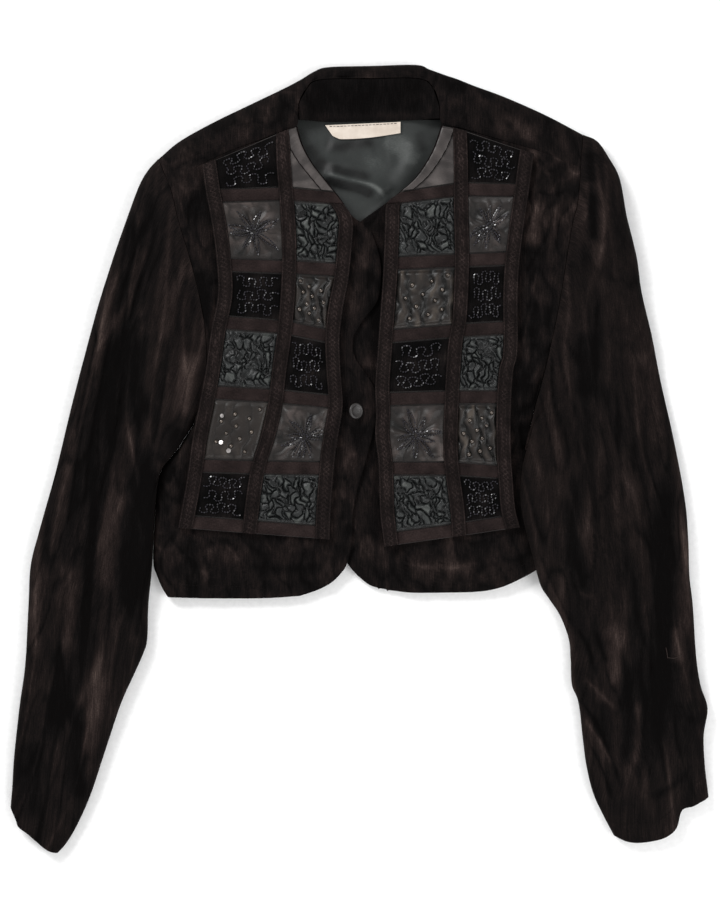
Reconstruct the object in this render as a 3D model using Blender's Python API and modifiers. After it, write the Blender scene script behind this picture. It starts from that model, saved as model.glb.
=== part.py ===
"""Bolero jacket of dark velvet, buttoned and laid flat on its back.

Two patchwork overlay panels lie on the fronts. Everything is in metres with +Z up. The jacket
lies on the plane Z = 0 with its fronts upwards: +Y runs from the hem to the neck and +X towards
the wearer's left. The origin is the bottom centre of the whole jacket.

Every cloth piece is a wall between two grids of points. A piece's plan comes from a few edge
curves, and its height from one shared height field, so neighbouring pieces meet at their seams.
"""
import math
from collections import namedtuple

import bpy
from mathutils import Vector

# Cloth thicknesses and clearances
VELVET = 0.0016
SATIN = 0.0010
BACKING = 0.0012
PATCH = 0.0012
RIBBON = 0.0012
BRAID = 0.0012
LABEL = 0.0010
SEAM_GAP = 0.0003
ON_TOP_GAP = 0.0007
OVERLAY_CLEARANCE = 0.0009

# Height of the laid cloth above the table, and how it rolls over at its outer folds
LAID_HEIGHT = 0.0125
SLEEVE_HEIGHT = 0.0150
SLEEVE_ROLL = 0.016
CUFF_ROLL = 0.006
LINING_REST = 0.0019

# Left front, let down where the right one lies over it: how deep, from which X and over what width
LEFT_FRONT_DROP = 0.0032
LEFT_DROP_FROM = 0.022
LEFT_DROP_WIDTH = 0.030

# Left sleeve, lifted where it lies over the body's side: height left under it, how far out and how
# wide its way down is, X where the side's height is read, and shares of the seam and of the length
LEFT_SLEEVE_UNDER_BODY = 0.0010
LIFT_REACH = 0.012
LIFT_FADE = 0.035
LIFT_HEM_SPARE = 0.004
LIFT_READ_X = 0.172
LIFT_SEAM_FROM = 0.60
LIFT_SEAM_WIDTH = 0.38
LIFT_SEAM_LENGTH = 0.12
LIFT_START = 0.03

# Patchwork: the braids run down the panels and the ribbons across them
BRAID_WIDTH = 0.0130
RIBBON_HALF = 0.0058
PATCH_TUCK = 0.0006
PATCH_ROW_SPARE = 0.02
RIBBON_SPARE = 0.04
CRINKLE = 0.0014
RUCHE = 0.0022
PANEL_MARGIN = 0.012
ROWS = 6

# Button
BUTTON_DIAMETER = 0.0145
BUTTON_THICKNESS = 0.0026
BUTTON_BEVEL = 0.0008
BUTTON_TILT = math.radians(32)
BUTTON_PLACE = (-0.0030, 0.0427)

# Label, hung from the lower edge of the neck facing
LABEL_CORNERS = ((-0.031, 0.3010), (0.037, 0.3040), (0.037, 0.2905), (-0.031, 0.2885))
LABEL_DIP = 0.002

Mound = namedtuple("Mound", "x y reach_x reach_y rise")
Fold = namedtuple("Fold", "points width rise")
Patch = namedtuple("Patch", "row column kind")
Panel = namedtuple("Panel", "side outer middle inner bands top")

# Plan of the body, each table from the first end named to the second
TOP_OUTLINE = (
    (-0.181, 0.270), (-0.162, 0.286), (-0.132, 0.303), (-0.099, 0.319), (-0.072, 0.332), (-0.060, 0.338),
    (-0.051, 0.343), (-0.041, 0.349), (-0.028, 0.353), (0.011, 0.354), (0.051, 0.355), (0.063, 0.351),
    (0.077, 0.346), (0.089, 0.342), (0.104, 0.336), (0.131, 0.326), (0.167, 0.310), (0.201, 0.292))
FORWARD_SEAM = (
    (-0.169, 0.242), (-0.147, 0.261), (-0.118, 0.276), (-0.088, 0.287), (-0.068, 0.295), (-0.056, 0.300),
    (-0.055, 0.319), (-0.048, 0.333), (-0.036, 0.341), (0.010, 0.342), (0.054, 0.342), (0.067, 0.333),
    (0.072, 0.318), (0.074, 0.302), (0.092, 0.297), (0.122, 0.288), (0.162, 0.276), (0.198, 0.261))
NECK_FIRST_STATION = 5
NECK_LAST_STATION = 13
RIGHT_ARMHOLE = (
    (-0.181, 0.270), (-0.175, 0.256), (-0.169, 0.242), (-0.162, 0.213), (-0.153, 0.183), (-0.144, 0.147),
    (-0.138, 0.107), (-0.139, 0.066), (-0.150, 0.030))
LEFT_ARMHOLE = (
    (0.201, 0.292), (0.1995, 0.2765), (0.198, 0.261), (0.196, 0.233), (0.190, 0.207), (0.182, 0.155),
    (0.177, 0.126), (0.1675, 0.083), (0.1565, 0.042), (0.1500, 0.009))
RIGHT_SIDE = (
    (-0.150, 0.030), (-0.1646, 0.0070), (-0.1796, -0.0130), (-0.1846, -0.055), (-0.1860, -0.093),
    (-0.183, -0.105), (-0.178, -0.117), (-0.173, -0.125))
LEFT_SIDE = (
    (0.1500, 0.009), (0.167, -0.006), (0.180, -0.030), (0.186, -0.060), (0.182, -0.081), (0.178, -0.089))
BACK_HEM = (
    (-0.172, -0.123), (-0.135, -0.108), (-0.072, -0.093), (-0.009, -0.087), (0.054, -0.085),
    (0.126, -0.084), (0.178, -0.087))
RIGHT_NECK = (
    (-0.056, 0.299), (-0.051, 0.282), (-0.043, 0.267), (-0.034, 0.255), (-0.026, 0.245),
    (-0.017, 0.234), (-0.007, 0.219), (0.001, 0.213), (0.011, 0.204))
RIGHT_FRONT_EDGE = (
    (0.011, 0.204), (0.019, 0.177), (0.017, 0.144), (0.002, 0.123), (-0.006, 0.107), (-0.004, 0.091),
    (0.006, 0.076), (0.014, 0.062), (0.016, 0.044), (0.013, 0.026), (0.006, -0.001), (-0.002, -0.028),
    (-0.006, -0.051), (-0.007, -0.073), (-0.011, -0.094), (-0.018, -0.105), (-0.027, -0.113),
    (-0.039, -0.119), (-0.054, -0.124))
RIGHT_HEM = ((-0.172, -0.125), (-0.139, -0.126), (-0.088, -0.126), (-0.054, -0.124))
LEFT_NECK = (
    (0.074, 0.301), (0.065, 0.276), (0.051, 0.254), (0.036, 0.240), (0.022, 0.229), (0.001, 0.214),
    (-0.007, 0.204))
LEFT_FRONT_EDGE = (
    (-0.007, 0.204), (-0.012, 0.177), (-0.013, 0.116), (-0.013, 0.035), (-0.013, -0.037),
    (-0.013, -0.082), (-0.011, -0.094), (-0.006, -0.101), (0.001, -0.108), (0.011, -0.115),
    (0.028, -0.119))
LEFT_HEM = (
    (0.178, -0.089), (0.162, -0.099), (0.146, -0.108), (0.128, -0.116), (0.108, -0.120),
    (0.075, -0.121), (0.047, -0.121), (0.028, -0.119))

# Plan of the sleeves: outer and inner folds from the armhole to the cuff, and the cuff itself
RIGHT_SLEEVE_OUTER = (
    (-0.181, 0.270), (-0.190, 0.260), (-0.198, 0.246), (-0.208, 0.219), (-0.222, 0.179),
    (-0.235, 0.138), (-0.246, 0.098), (-0.260, 0.044), (-0.273, -0.010), (-0.288, -0.064),
    (-0.296, -0.096), (-0.298, -0.132), (-0.301, -0.186), (-0.306, -0.222), (-0.311, -0.267),
    (-0.313, -0.298), (-0.3145, -0.314))
RIGHT_SLEEVE_INNER = (
    (-0.150, 0.030), (-0.166, 0.008), (-0.181, -0.012), (-0.186, -0.055), (-0.188, -0.093),
    (-0.189, -0.109), (-0.190, -0.132), (-0.191, -0.163), (-0.195, -0.177), (-0.203, -0.195),
    (-0.215, -0.222), (-0.230, -0.267), (-0.242, -0.303), (-0.254, -0.330), (-0.264, -0.347),
    (-0.272, -0.356))
RIGHT_CUFF = (
    (-0.3145, -0.314), (-0.310, -0.324), (-0.307, -0.332), (-0.298, -0.339), (-0.288, -0.348),
    (-0.279, -0.354), (-0.272, -0.356))
LEFT_SLEEVE_OUTER = (
    (0.201, 0.292), (0.214, 0.286), (0.225, 0.270), (0.234, 0.252), (0.240, 0.219), (0.246, 0.195),
    (0.250, 0.177), (0.254, 0.149), (0.263, 0.111), (0.271, 0.071), (0.283, 0.017), (0.293, -0.037),
    (0.296, -0.073), (0.297, -0.105), (0.300, -0.132), (0.303, -0.177), (0.307, -0.204),
    (0.3135, -0.225), (0.310, -0.249), (0.311, -0.276), (0.3145, -0.305))
LEFT_SLEEVE_INNER = (
    (0.1500, 0.009), (0.1455, -0.010), (0.1440, -0.037), (0.1480, -0.061), (0.154, -0.084),
    (0.162, -0.113), (0.170, -0.126), (0.180, -0.141), (0.188, -0.162), (0.190, -0.181),
    (0.191, -0.204), (0.197, -0.220), (0.201, -0.253), (0.204, -0.276), (0.210, -0.301),
    (0.219, -0.321), (0.2290, -0.3400))
LEFT_CUFF = (
    (0.3145, -0.305), (0.301, -0.313), (0.290, -0.317), (0.285, -0.333), (0.274, -0.342),
    (0.256, -0.346), (0.242, -0.3455), (0.2290, -0.3400))

# Lining shown in the neck opening, and the lower edge of the velvet neck facing
LINING_CORNERS = ((-0.068, 0.306), (0.086, 0.306), (0.060, 0.170), (-0.045, 0.170))
FACING_LOWER_EDGE = (
    (-0.0545, 0.3050), (-0.030, 0.3040), (0.010, 0.3045), (0.045, 0.3055), (0.0725, 0.3060))
FACING_SIDES = (
    ((-0.048, 0.333), (-0.055, 0.319), (-0.0545, 0.305)),
    ((0.067, 0.333), (0.072, 0.318), (0.0725, 0.306)))
FACING_STATIONS = (7, 11)
FACING_CENTRE = (0.0095, 0.3050)
FACING_EASE = (0.988, 0.982)
FACING_DEPTH = 0.036
FACING_WIDTH = 0.120
FACING_SINK = 0.030

# Slow rises and hollows of the laid cloth
BODY_MOUNDS = (
    Mound(-0.158, 0.222, 0.055, 0.060, 0.0110),
    Mound(0.178, 0.222, 0.055, 0.070, 0.0120),
    Mound(-0.075, 0.290, 0.040, 0.030, 0.0035),
    Mound(0.095, 0.295, 0.045, 0.030, 0.0035),
    Mound(0.010, 0.360, 0.070, 0.025, 0.0030),
    Mound(0.005, 0.200, 0.050, 0.050, -0.0030),
    Mound(-0.060, -0.140, 0.140, 0.050, -0.0030),
    Mound(0.080, -0.135, 0.120, 0.045, -0.0030),
    Mound(0.172, -0.040, 0.032, 0.070, -0.0030))
SLEEVE_MOUNDS = (
    Mound(-0.190, 0.205, 0.060, 0.070, 0.0070),
    Mound(0.212, 0.205, 0.060, 0.080, 0.0080),
    Mound(-0.300, -0.340, 0.080, 0.090, -0.0045),
    Mound(0.270, -0.340, 0.090, 0.090, -0.0040))

# Largest folds: points along each, full width, and rise of its ridge or depth of its trough
BODY_FOLDS = (
    Fold(((-0.152, 0.029), (-0.172, -0.002), (-0.180, -0.030)), 0.030, -0.0030),
    Fold(((-0.160, 0.075), (-0.154, 0.030), (-0.158, -0.020), (-0.166, -0.070)), 0.026, 0.0022),
    Fold(((-0.134, 0.120), (-0.151, 0.105), (-0.157, 0.060)), 0.026, -0.0018),
    Fold(((0.151, 0.138), (0.148, 0.112), (0.140, 0.060)), 0.028, 0.0020),
    Fold(((0.173, 0.217), (0.160, 0.177), (0.148, 0.160)), 0.024, -0.0020),
    Fold(((-0.120, -0.070), (-0.080, -0.085), (-0.030, -0.080)), 0.030, 0.0012))
RIGHT_SLEEVE_FOLDS = (
    Fold(((-0.171, 0.234), (-0.186, 0.194), (-0.199, 0.158), (-0.209, 0.124), (-0.217, 0.085),
          (-0.223, 0.052), (-0.229, -0.001), (-0.241, -0.102), (-0.250, -0.158), (-0.254, -0.215)),
         0.034, -0.0048),
    Fold(((-0.150, 0.185), (-0.166, 0.149), (-0.178, 0.109), (-0.190, 0.068), (-0.196, 0.020)),
         0.034, 0.0030),
    Fold(((-0.216, 0.165), (-0.232, 0.097), (-0.240, 0.052), (-0.252, -0.020)), 0.034, 0.0035),
    Fold(((-0.210, 0.050), (-0.200, -0.010), (-0.195, -0.055), (-0.198, -0.130)), 0.030, 0.0032),
    Fold(((-0.262, -0.060), (-0.272, -0.140), (-0.279, -0.230)), 0.040, 0.0026))
LEFT_SLEEVE_FOLDS = (
    Fold(((0.198, 0.259), (0.203, 0.225), (0.198, 0.206), (0.194, 0.160)), 0.030, 0.0030),
    Fold(((0.212, 0.250), (0.218, 0.214), (0.216, 0.185), (0.210, 0.140)), 0.030, -0.0030),
    Fold(((0.252, 0.110), (0.262, 0.020), (0.268, -0.080), (0.262, -0.160)), 0.044, -0.0048),
    Fold(((0.240, 0.030), (0.243, -0.060), (0.240, -0.130)), 0.034, 0.0034),
    Fold(((0.191, -0.172), (0.206, -0.186), (0.222, -0.192)), 0.030, -0.0028),
    Fold(((0.202, -0.232), (0.217, -0.255), (0.232, -0.275)), 0.030, -0.0026),
    Fold(((0.254, -0.154), (0.253, -0.204), (0.259, -0.235), (0.256, -0.270)), 0.034, 0.0030))
LINING_FOLDS = (
    Fold(((-0.033, 0.258), (-0.007, 0.251), (0.015, 0.245), (0.024, 0.236)), 0.022, 0.0042),
    Fold(((-0.030, 0.283), (-0.008, 0.276), (0.014, 0.280)), 0.020, 0.0020),
    Fold(((0.050, 0.290), (0.045, 0.262), (0.030, 0.240)), 0.022, 0.0026))

# Patchwork panels: edges and middle line of each, and the ribbons' centre heights on them
RIGHT_PANEL = Panel(
    "right",
    ((-0.141, 0.265), (-0.138, 0.242), (-0.132, 0.210), (-0.128, 0.177), (-0.127, 0.147),
     (-0.133, 0.116), (-0.138, 0.080), (-0.144, 0.048), (-0.150, 0.017), (-0.155, -0.019),
     (-0.163, -0.063), (-0.165, -0.075)),
    ((-0.069, 0.297), (-0.068, 0.264), (-0.065, 0.228), (-0.063, 0.191), (-0.064, 0.152),
     (-0.067, 0.116), (-0.072, 0.080), (-0.076, 0.047), (-0.083, 0.017), (-0.092, -0.013),
     (-0.099, -0.065), (-0.100, -0.075)),
    ((-0.0575, 0.299), (-0.0525, 0.282), (-0.0445, 0.267), (-0.0355, 0.255), (-0.0275, 0.245),
     (-0.0185, 0.234), (-0.0065, 0.216), (-0.007, 0.192), (-0.010, 0.162), (-0.015, 0.135),
     (-0.018, 0.107), (-0.017, 0.078), (-0.015, 0.049), (-0.018, 0.027), (-0.022, 0.002),
     (-0.026, -0.048), (-0.027, -0.080)),
    ((0.235, 0.238, 0.234), (0.174, 0.172, 0.169), (0.123, 0.118, 0.108), (0.060, 0.056, 0.050),
     (-0.006, -0.008, -0.009), (-0.0565, -0.0615, -0.0670)),
    (0.2630, 0.2935, 0.2975))
LEFT_PANEL = Panel(
    "left",
    ((0.157, 0.278), (0.152, 0.242), (0.145, 0.192), (0.142, 0.152), (0.142, 0.098),
     (0.138, 0.078), (0.136, 0.044), (0.136, 0.008), (0.138, -0.022), (0.140, -0.045),
     (0.1445, -0.063), (0.1465, -0.075)),
    ((0.090, 0.299), (0.091, 0.264), (0.091, 0.229), (0.092, 0.179), (0.090, 0.128),
     (0.086, 0.102), (0.083, 0.056), (0.082, 0.004), (0.088, -0.047), (0.090, -0.080)),
    ((0.0755, 0.301), (0.0665, 0.276), (0.0525, 0.254), (0.0375, 0.240), (0.0245, 0.229),
     (0.023, 0.207), (0.021, 0.162), (0.018, 0.121), (0.016, 0.092), (0.014, 0.065),
     (0.015, 0.040), (0.014, 0.021), (0.017, -0.004), (0.018, -0.036), (0.019, -0.054),
     (0.023, -0.085)),
    ((0.240, 0.242, 0.234), (0.180, 0.178, 0.175), (0.118, 0.115, 0.109), (0.055, 0.055, 0.053),
     (-0.013, -0.009, -0.009), (-0.0560, -0.0640, -0.0735)),
    (0.2730, 0.2955, 0.2985))

# Cloth of each patch, the same on both panels; rows run down from the shoulder
PATCHES = (
    Patch(0, "outer", "velvet"), Patch(0, "inner", "plain"),
    Patch(1, "outer", "satin"), Patch(1, "inner", "ruched"),
    Patch(2, "outer", "velvet"), Patch(2, "inner", "crinkled"),
    Patch(3, "outer", "ruched"), Patch(3, "inner", "velvet"),
    Patch(4, "outer", "crinkled"), Patch(4, "inner", "satin"),
    Patch(5, "outer", "velvet"), Patch(5, "inner", "ruched"))

# Colours of the cloths, roughness and metallic value
FINISHES = {
    "velvet": ((0.012, 0.009, 0.009), 0.95, 0.0),
    "lining": ((0.050, 0.061, 0.060), 0.40, 0.0),
    "plain": ((0.030, 0.030, 0.029), 0.45, 0.0),
    "satin": ((0.040, 0.039, 0.036), 0.42, 0.0),
    "crinkled": ((0.038, 0.037, 0.032), 0.40, 0.0),
    "ruched": ((0.030, 0.036, 0.037), 0.45, 0.0),
    "braid": ((0.034, 0.024, 0.023), 0.90, 0.0),
    "label": ((0.800, 0.740, 0.640), 0.80, 0.0),
    "button": ((0.160, 0.155, 0.150), 0.45, 0.0)}


def clear_scene():
    """Remove whatever objects the scene holds."""
    for item in list(bpy.data.objects):
        bpy.data.objects.remove(item)


def smoothstep(share):
    """Ease from 0 to 1."""
    share = min(max(share, 0.0), 1.0)
    return share * share * (3 - 2 * share)


def roll(share):
    """Rise of a rounded fold, from 0 at its edge to 1 where it has turned flat."""
    share = min(max(share, 0.0), 1.0)
    return math.sqrt(1 - (1 - share) ** 2)


def mix(first, second, share):
    """Point that lies a share of the way from the first to the second."""
    return tuple(a + (b - a) * share for a, b in zip(first, second))


def along_stations(points, share):
    """Straight run from point to point, each point at an even step of the share."""
    place = min(max(share, 0.0), 1.0) * (len(points) - 1)
    index = min(int(place), len(points) - 2)
    return mix(points[index], points[index + 1], place - index)


def through_stations(points, share):
    """Catmull-Rom curve through the points, each point at an even step of the share."""
    place = min(max(share, 0.0), 1.0) * (len(points) - 1)
    index = min(int(place), len(points) - 2)
    t = place - index
    p1, p2 = points[index], points[index + 1]
    p0 = points[index - 1] if index > 0 else mix(p2, p1, 2.0)
    p3 = points[index + 2] if index + 2 < len(points) else mix(p1, p2, 2.0)
    return tuple(
        0.5 * (2 * b + (c - a) * t + (2 * a - 5 * b + 4 * c - d) * t ** 2
               + (3 * b - a - 3 * c + d) * t ** 3)
        for a, b, c, d in zip(p0, p1, p2, p3))


class Curve:
    """Smooth plan curve through a few points, read by the share of its length."""

    SAMPLES = 10

    def __init__(self, points, read=through_stations):
        count = (len(points) - 1) * self.SAMPLES
        self.line = [read(points, i / count) for i in range(count + 1)]
        self.reach = [0.0]
        for a, b in zip(self.line, self.line[1:]):
            self.reach.append(self.reach[-1] + math.dist(a, b))
        self.length = self.reach[-1]

    def at(self, share):
        wanted = min(max(share, 0.0), 1.0) * self.length
        for i in range(1, len(self.line)):
            if self.reach[i] >= wanted:
                step = self.reach[i] - self.reach[i - 1]
                return mix(self.line[i - 1], self.line[i], (wanted - self.reach[i - 1]) / max(step, 1e-9))
        return self.line[-1]

    def distance(self, point):
        """Distance from a point and the share of the length where it is nearest."""
        best, share = 1e9, 0.0
        for i in range(1, len(self.line)):
            (ax, ay), (bx, by) = self.line[i - 1], self.line[i]
            dx, dy = bx - ax, by - ay
            t = ((point[0] - ax) * dx + (point[1] - ay) * dy) / max(dx * dx + dy * dy, 1e-12)
            t = min(max(t, 0.0), 1.0)
            away = math.hypot(point[0] - ax - dx * t, point[1] - ay - dy * t)
            if away < best:
                best = away
                share = (self.reach[i - 1] + t * (self.reach[i] - self.reach[i - 1])) / self.length
        return best, share


def rise_of_mounds(mounds, x, y):
    """Sum of the slow rises at one place."""
    return sum(
        m.rise * math.exp(-((x - m.x) / m.reach_x) ** 2 - ((y - m.y) / m.reach_y) ** 2) for m in mounds)


def rise_of_folds(folds, x, y):
    """Sum of the folds at one place; each dies away across its width and at its ends."""
    total = 0.0
    for curve, fold in folds:
        away, share = curve.distance((x, y))
        if away < fold.width:
            across = math.exp(-(away / (0.42 * fold.width)) ** 2)
            ends = smoothstep(min(share, 1 - share) / 0.18 + 0.12)
            total += fold.rise * across * ends
    return total


def with_curves(folds):
    """Pair each fold with its smooth curve."""
    return [(Curve(fold.points), fold) for fold in folds]


BODY_FOLD_CURVES = with_curves(BODY_FOLDS)


def smooth_body(x, y):
    """Height of the fronts' and shoulders' outer face before its folds."""
    return LAID_HEIGHT + rise_of_mounds(BODY_MOUNDS, x, y)


def body_top(x, y):
    """Height of the fronts' and shoulders' outer face; no fold stands up under a panel."""
    folds = rise_of_folds(BODY_FOLD_CURVES, x, y)
    if folds > 0:
        edge = RIGHT_PANEL.outer if x < 0 else LEFT_PANEL.outer
        folds *= smoothstep((abs(x) - abs(read_guide(edge, y)[0])) / PANEL_MARGIN - 1)
    return smooth_body(x, y) + folds


def sleeve_top(x, y, folds):
    """Height of a sleeve's outer face."""
    return SLEEVE_HEIGHT + rise_of_mounds(SLEEVE_MOUNDS, x, y) + rise_of_folds(folds, x, y)


def coons(top, bottom, left, right, u, v):
    """Point of the plan surface between four edges; u runs across and v down."""
    corners = (
        (1 - u) * (1 - v), top[0], u * (1 - v), top[1], (1 - u) * v, bottom[0], u * v, bottom[1])
    across, down = corners[0::2], corners[1::2]
    point = []
    for k in range(2):
        edges = (1 - v) * top[2][k] + v * bottom[2][k] + (1 - u) * left[k] + u * right[k]
        point.append(edges - sum(w * c[k] for w, c in zip(across, down)))
    return tuple(point)


def plan_grid(top, bottom, left, right, shares_across, shares_down):
    """Grid of plan points; each edge is a function of its share, and rows run down."""
    rows = []
    for v in shares_down:
        row = []
        for u in shares_across:
            ends_top = (top(0), top(1), top(u))
            ends_bottom = (bottom(0), bottom(1), bottom(u))
            row.append(coons(ends_top, ends_bottom, left(v), right(v), u, v))
        rows.append(row)
    return rows


def grid_normals(rows, closed):
    """Normals of a grid of points, squared at its open edges.

    At an open edge the normal keeps no part that points across the edge, so the wall's rim stands
    square and the next piece's rim runs parallel to it.
    """
    count_down, count_across = len(rows), len(rows[0])
    normals = []
    for i, row in enumerate(rows):
        line = []
        for j in range(count_across):
            before, after = max(j - 1, 0), min(j + 1, count_across - 1)
            if closed:
                before, after = j - 1, (j + 1) % count_across
            across = row[after] - row[before]
            down = rows[min(i + 1, count_down - 1)][j] - rows[max(i - 1, 0)][j]
            normal = down.cross(across).normalized()
            if i in (0, count_down - 1):
                normal = square_rim(normal, ring_run(row, j) if closed else across, closed)
            if not closed and j in (0, count_across - 1):
                normal = square_rim(normal, down, False)
            line.append(normal)
        normals.append(line)
    return normals


def ring_run(row, place):
    """Way that the end of a tube runs at one of its points, seen from above."""
    after, before = row[(place + 3) % len(row)], row[place - 3]
    run = after - before
    return run if math.hypot(run.x, run.y) > 0.002 else after - row[place]


def square_rim(normal, along, upright):
    """Take the part that crosses a rim out of a normal; the rim runs along the given way.

    A level wall ends in an upright rim. A wall that has rolled over ends in a level one.
    """
    crossing = Vector((-along.y, along.x, 0)).normalized()
    trimmed = normal - crossing * normal.dot(crossing)
    if not upright:
        level = normal - Vector((0, 0, normal.z))
        trimmed = level + (trimmed - level) * smoothstep((abs(normal.z) - 0.45) / 0.3)
    return trimmed.normalized() if trimmed.length > 0.2 else normal


def wall(name, outer, finish, thickness=None, inner=None, closed=False):
    """Closed wall between an outer grid and the inner one that lies a thickness under it."""
    if inner is None:
        normals = grid_normals(outer, closed)
        inner = [[p - n * thickness for p, n in zip(*pair)] for pair in zip(outer, normals)]
    count_down, count_across = len(outer), len(outer[0])
    points = [p for row in outer for p in row] + [p for row in inner for p in row]
    under = count_down * count_across
    faces = []
    spans = count_across if closed else count_across - 1
    for i in range(count_down - 1):
        for j in range(spans):
            a, b = i * count_across + j, i * count_across + (j + 1) % count_across
            c, d = b + count_across, a + count_across
            faces.append((a, d, c, b))
            faces.append((under + a, under + b, under + c, under + d))
    for j in range(spans):
        after = (j + 1) % count_across
        low = (count_down - 1) * count_across
        faces.append((j, after, under + after, under + j))
        faces.append((low + after, low + j, under + low + j, under + low + after))
    if not closed:
        for i in range(count_down - 1):
            a, d = i * count_across, (i + 1) * count_across
            faces.append((d, a, under + a, under + d))
            b, c = a + count_across - 1, d + count_across - 1
            faces.append((b, c, under + c, under + b))
    mesh = bpy.data.meshes.new(name)
    mesh.from_pydata([tuple(p) for p in points], [], faces)
    turn_outwards(mesh)
    return add_piece(name, mesh, finish)


def turn_outwards(mesh):
    """Flip every face if the closed wall came out inside out."""
    volume = 0.0
    for face in mesh.polygons:
        corners = [mesh.vertices[k].co for k in face.vertices]
        for b, c in zip(corners[1:], corners[2:]):
            volume += corners[0].dot(b.cross(c))
    if volume < 0:
        mesh.flip_normals()


def add_piece(name, mesh, finish):
    """Link a mesh to the jacket's collection and give it its own material."""
    colour, roughness, metallic = FINISHES[finish]
    material = bpy.data.materials.new(name)
    material.use_nodes = True
    shader = material.node_tree.nodes["Principled BSDF"]
    shader.inputs["Base Color"].default_value = (*colour, 1.0)
    shader.inputs["Roughness"].default_value = roughness
    shader.inputs["Metallic"].default_value = metallic
    mesh.materials.append(material)
    mesh.shade_smooth()
    mesh.set_sharp_from_angle(angle=math.radians(40))
    piece = bpy.data.objects.new(name, mesh)
    PARTS.objects.link(piece)
    return piece


def shares(count):
    """Even shares from 0 to 1."""
    return [i / count for i in range(count + 1)]


def armhole_high(curve, share):
    """Outer height of the armhole seam on the upper side."""
    x, y = curve.at(share)
    middle = body_top(x, y) / 2
    near_end = min(share, 1 - share) * curve.length
    return middle + (body_top(x, y) - middle) * roll(near_end / SLEEVE_ROLL)


def armhole_low(curve, share):
    """Outer height of the armhole seam on the side that lies on the table."""
    x, y = curve.at(share)
    near_end = min(share, 1 - share) * curve.length
    return body_top(x, y) / 2 * (1 - roll(near_end / SLEEVE_ROLL))


# Body pieces

SIDE_ROWS = 6
SIDE_CROWDING = 1.4
FOLD_SHARES = (0.0, 0.10, 0.42, 1.0)
SIDE_FOLD = 0.055
ARMHOLE_STEPS = 8

# Rows of the back's roll over the shoulders: share of the roll, and -1 below its edge or 1 above
BACK_ROLL = ((0.35, -1), (0.05, -1), (0.0, -1), (0.05, 1), (0.35, 1), (1.0, 1))
ROLL_ROOM = 0.8
SHOULDER_EASE = SEAM_GAP * 1.3


def armhole_shares(armhole, seam):
    """Shares of the armhole where sleeve, front and back all have a point.

    They start at the shoulder, crowd at both ends where the cloth rolls over, and take in the end
    of the forward seam.
    """
    turn = SLEEVE_ROLL / armhole.length
    middle = [turn + (1 - 2 * turn) * s for s in shares(ARMHOLE_STEPS)[1:-1]]
    middle[0] = armhole.distance(seam)[1]
    return [turn * s for s in FOLD_SHARES] + middle + [1 - turn * s for s in reversed(FOLD_SHARES)]


def side_shares():
    """Shares of the side's length where front and back have a point, closer near the underarm."""
    return [s ** SIDE_CROWDING for s in shares(SIDE_ROWS)]


def low_steps(columns):
    """Columns of a sleeve's lower side, from the underarm back to the shoulder: fewer in the middle."""
    last, ends = len(columns) - 1, len(FOLD_SHARES)
    return [k for k in range(last, -1, -1) if k < ends or k > last - ends or k % 2 == 0]


def build_back():
    """Back: flat on the table, turned up at the sides and rolled over the shoulders and neck."""
    hem = Curve(BACK_HEM)
    sides = []
    for armhole, side, seam in (
            (Curve(RIGHT_ARMHOLE), Curve(RIGHT_SIDE), FORWARD_SEAM[0]),
            (Curve(LEFT_ARMHOLE), Curve(LEFT_SIDE), FORWARD_SEAM[-1])):
        edge = []
        for share in reversed(side_shares()[1:]):
            x, y = side.at(share)
            edge.append(((x, y), body_top(x, y) / 2 - SEAM_GAP))
        joined = armhole_shares(armhole, seam)
        for k in low_steps(joined):
            if k >= len(FOLD_SHARES) - 1:
                edge.append((armhole.at(joined[k]), armhole_low(armhole, joined[k])))
        sides.append(edge)
    rows_up = len(sides[0]) - 1

    def rolled(share, inset):
        """Place a distance in from the top outline towards the forward seam, and the room there."""
        outline = along_stations(TOP_OUTLINE, share)
        seam = along_stations(FORWARD_SEAM, share)
        reach = math.dist(outline, seam)
        return mix(outline, seam, min(inset / reach, 1.0)), reach

    spans = len(FORWARD_SEAM) - 1
    right_fold = SIDE_FOLD * NECK_FIRST_STATION / spans
    left_fold = SIDE_FOLD * (spans - NECK_LAST_STATION) / spans
    across = [right_fold * s for s in FOLD_SHARES] + shares(spans)[1:-1]
    across += [1 - left_fold * s for s in reversed(FOLD_SHARES)]
    rows = []
    for step in range(rows_up + 1):
        (left, left_z), (right, right_z) = sides[0][step], sides[1][step]
        row = []
        for u in across:
            place = coons(
                (rolled(0, SLEEVE_ROLL)[0], rolled(1, SLEEVE_ROLL)[0], rolled(u, SLEEVE_ROLL)[0]),
                (sides[0][0][0], sides[1][0][0], hem.at(u)),
                left, right, u, 1 - step / rows_up)
            z = left_z * (1 - roll(u / right_fold)) + right_z * (1 - roll((1 - u) / left_fold))
            row.append(Vector((*place, z)))
        rows.append(row)
    for share, way in BACK_ROLL:
        row = []
        for u in across:
            inset = SLEEVE_ROLL * share
            if way > 0:
                inset = min(inset, rolled(u, inset)[1] * ROLL_ROOM * share)
            place = rolled(u, inset)[0]
            row.append(Vector((*place, body_top(*place) / 2 * (1 + way * roll(share)))))
        rows.append(row)
    last = rows[-1]
    for share in (0.5, 1.0):
        row = []
        for u, start in zip(across, last):
            place = mix((start.x, start.y), along_stations(FORWARD_SEAM, u), share)
            row.append(Vector((*place, body_top(*place))))
        rows.append(row)
    wall("back", rows, "velvet", VELVET)


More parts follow.
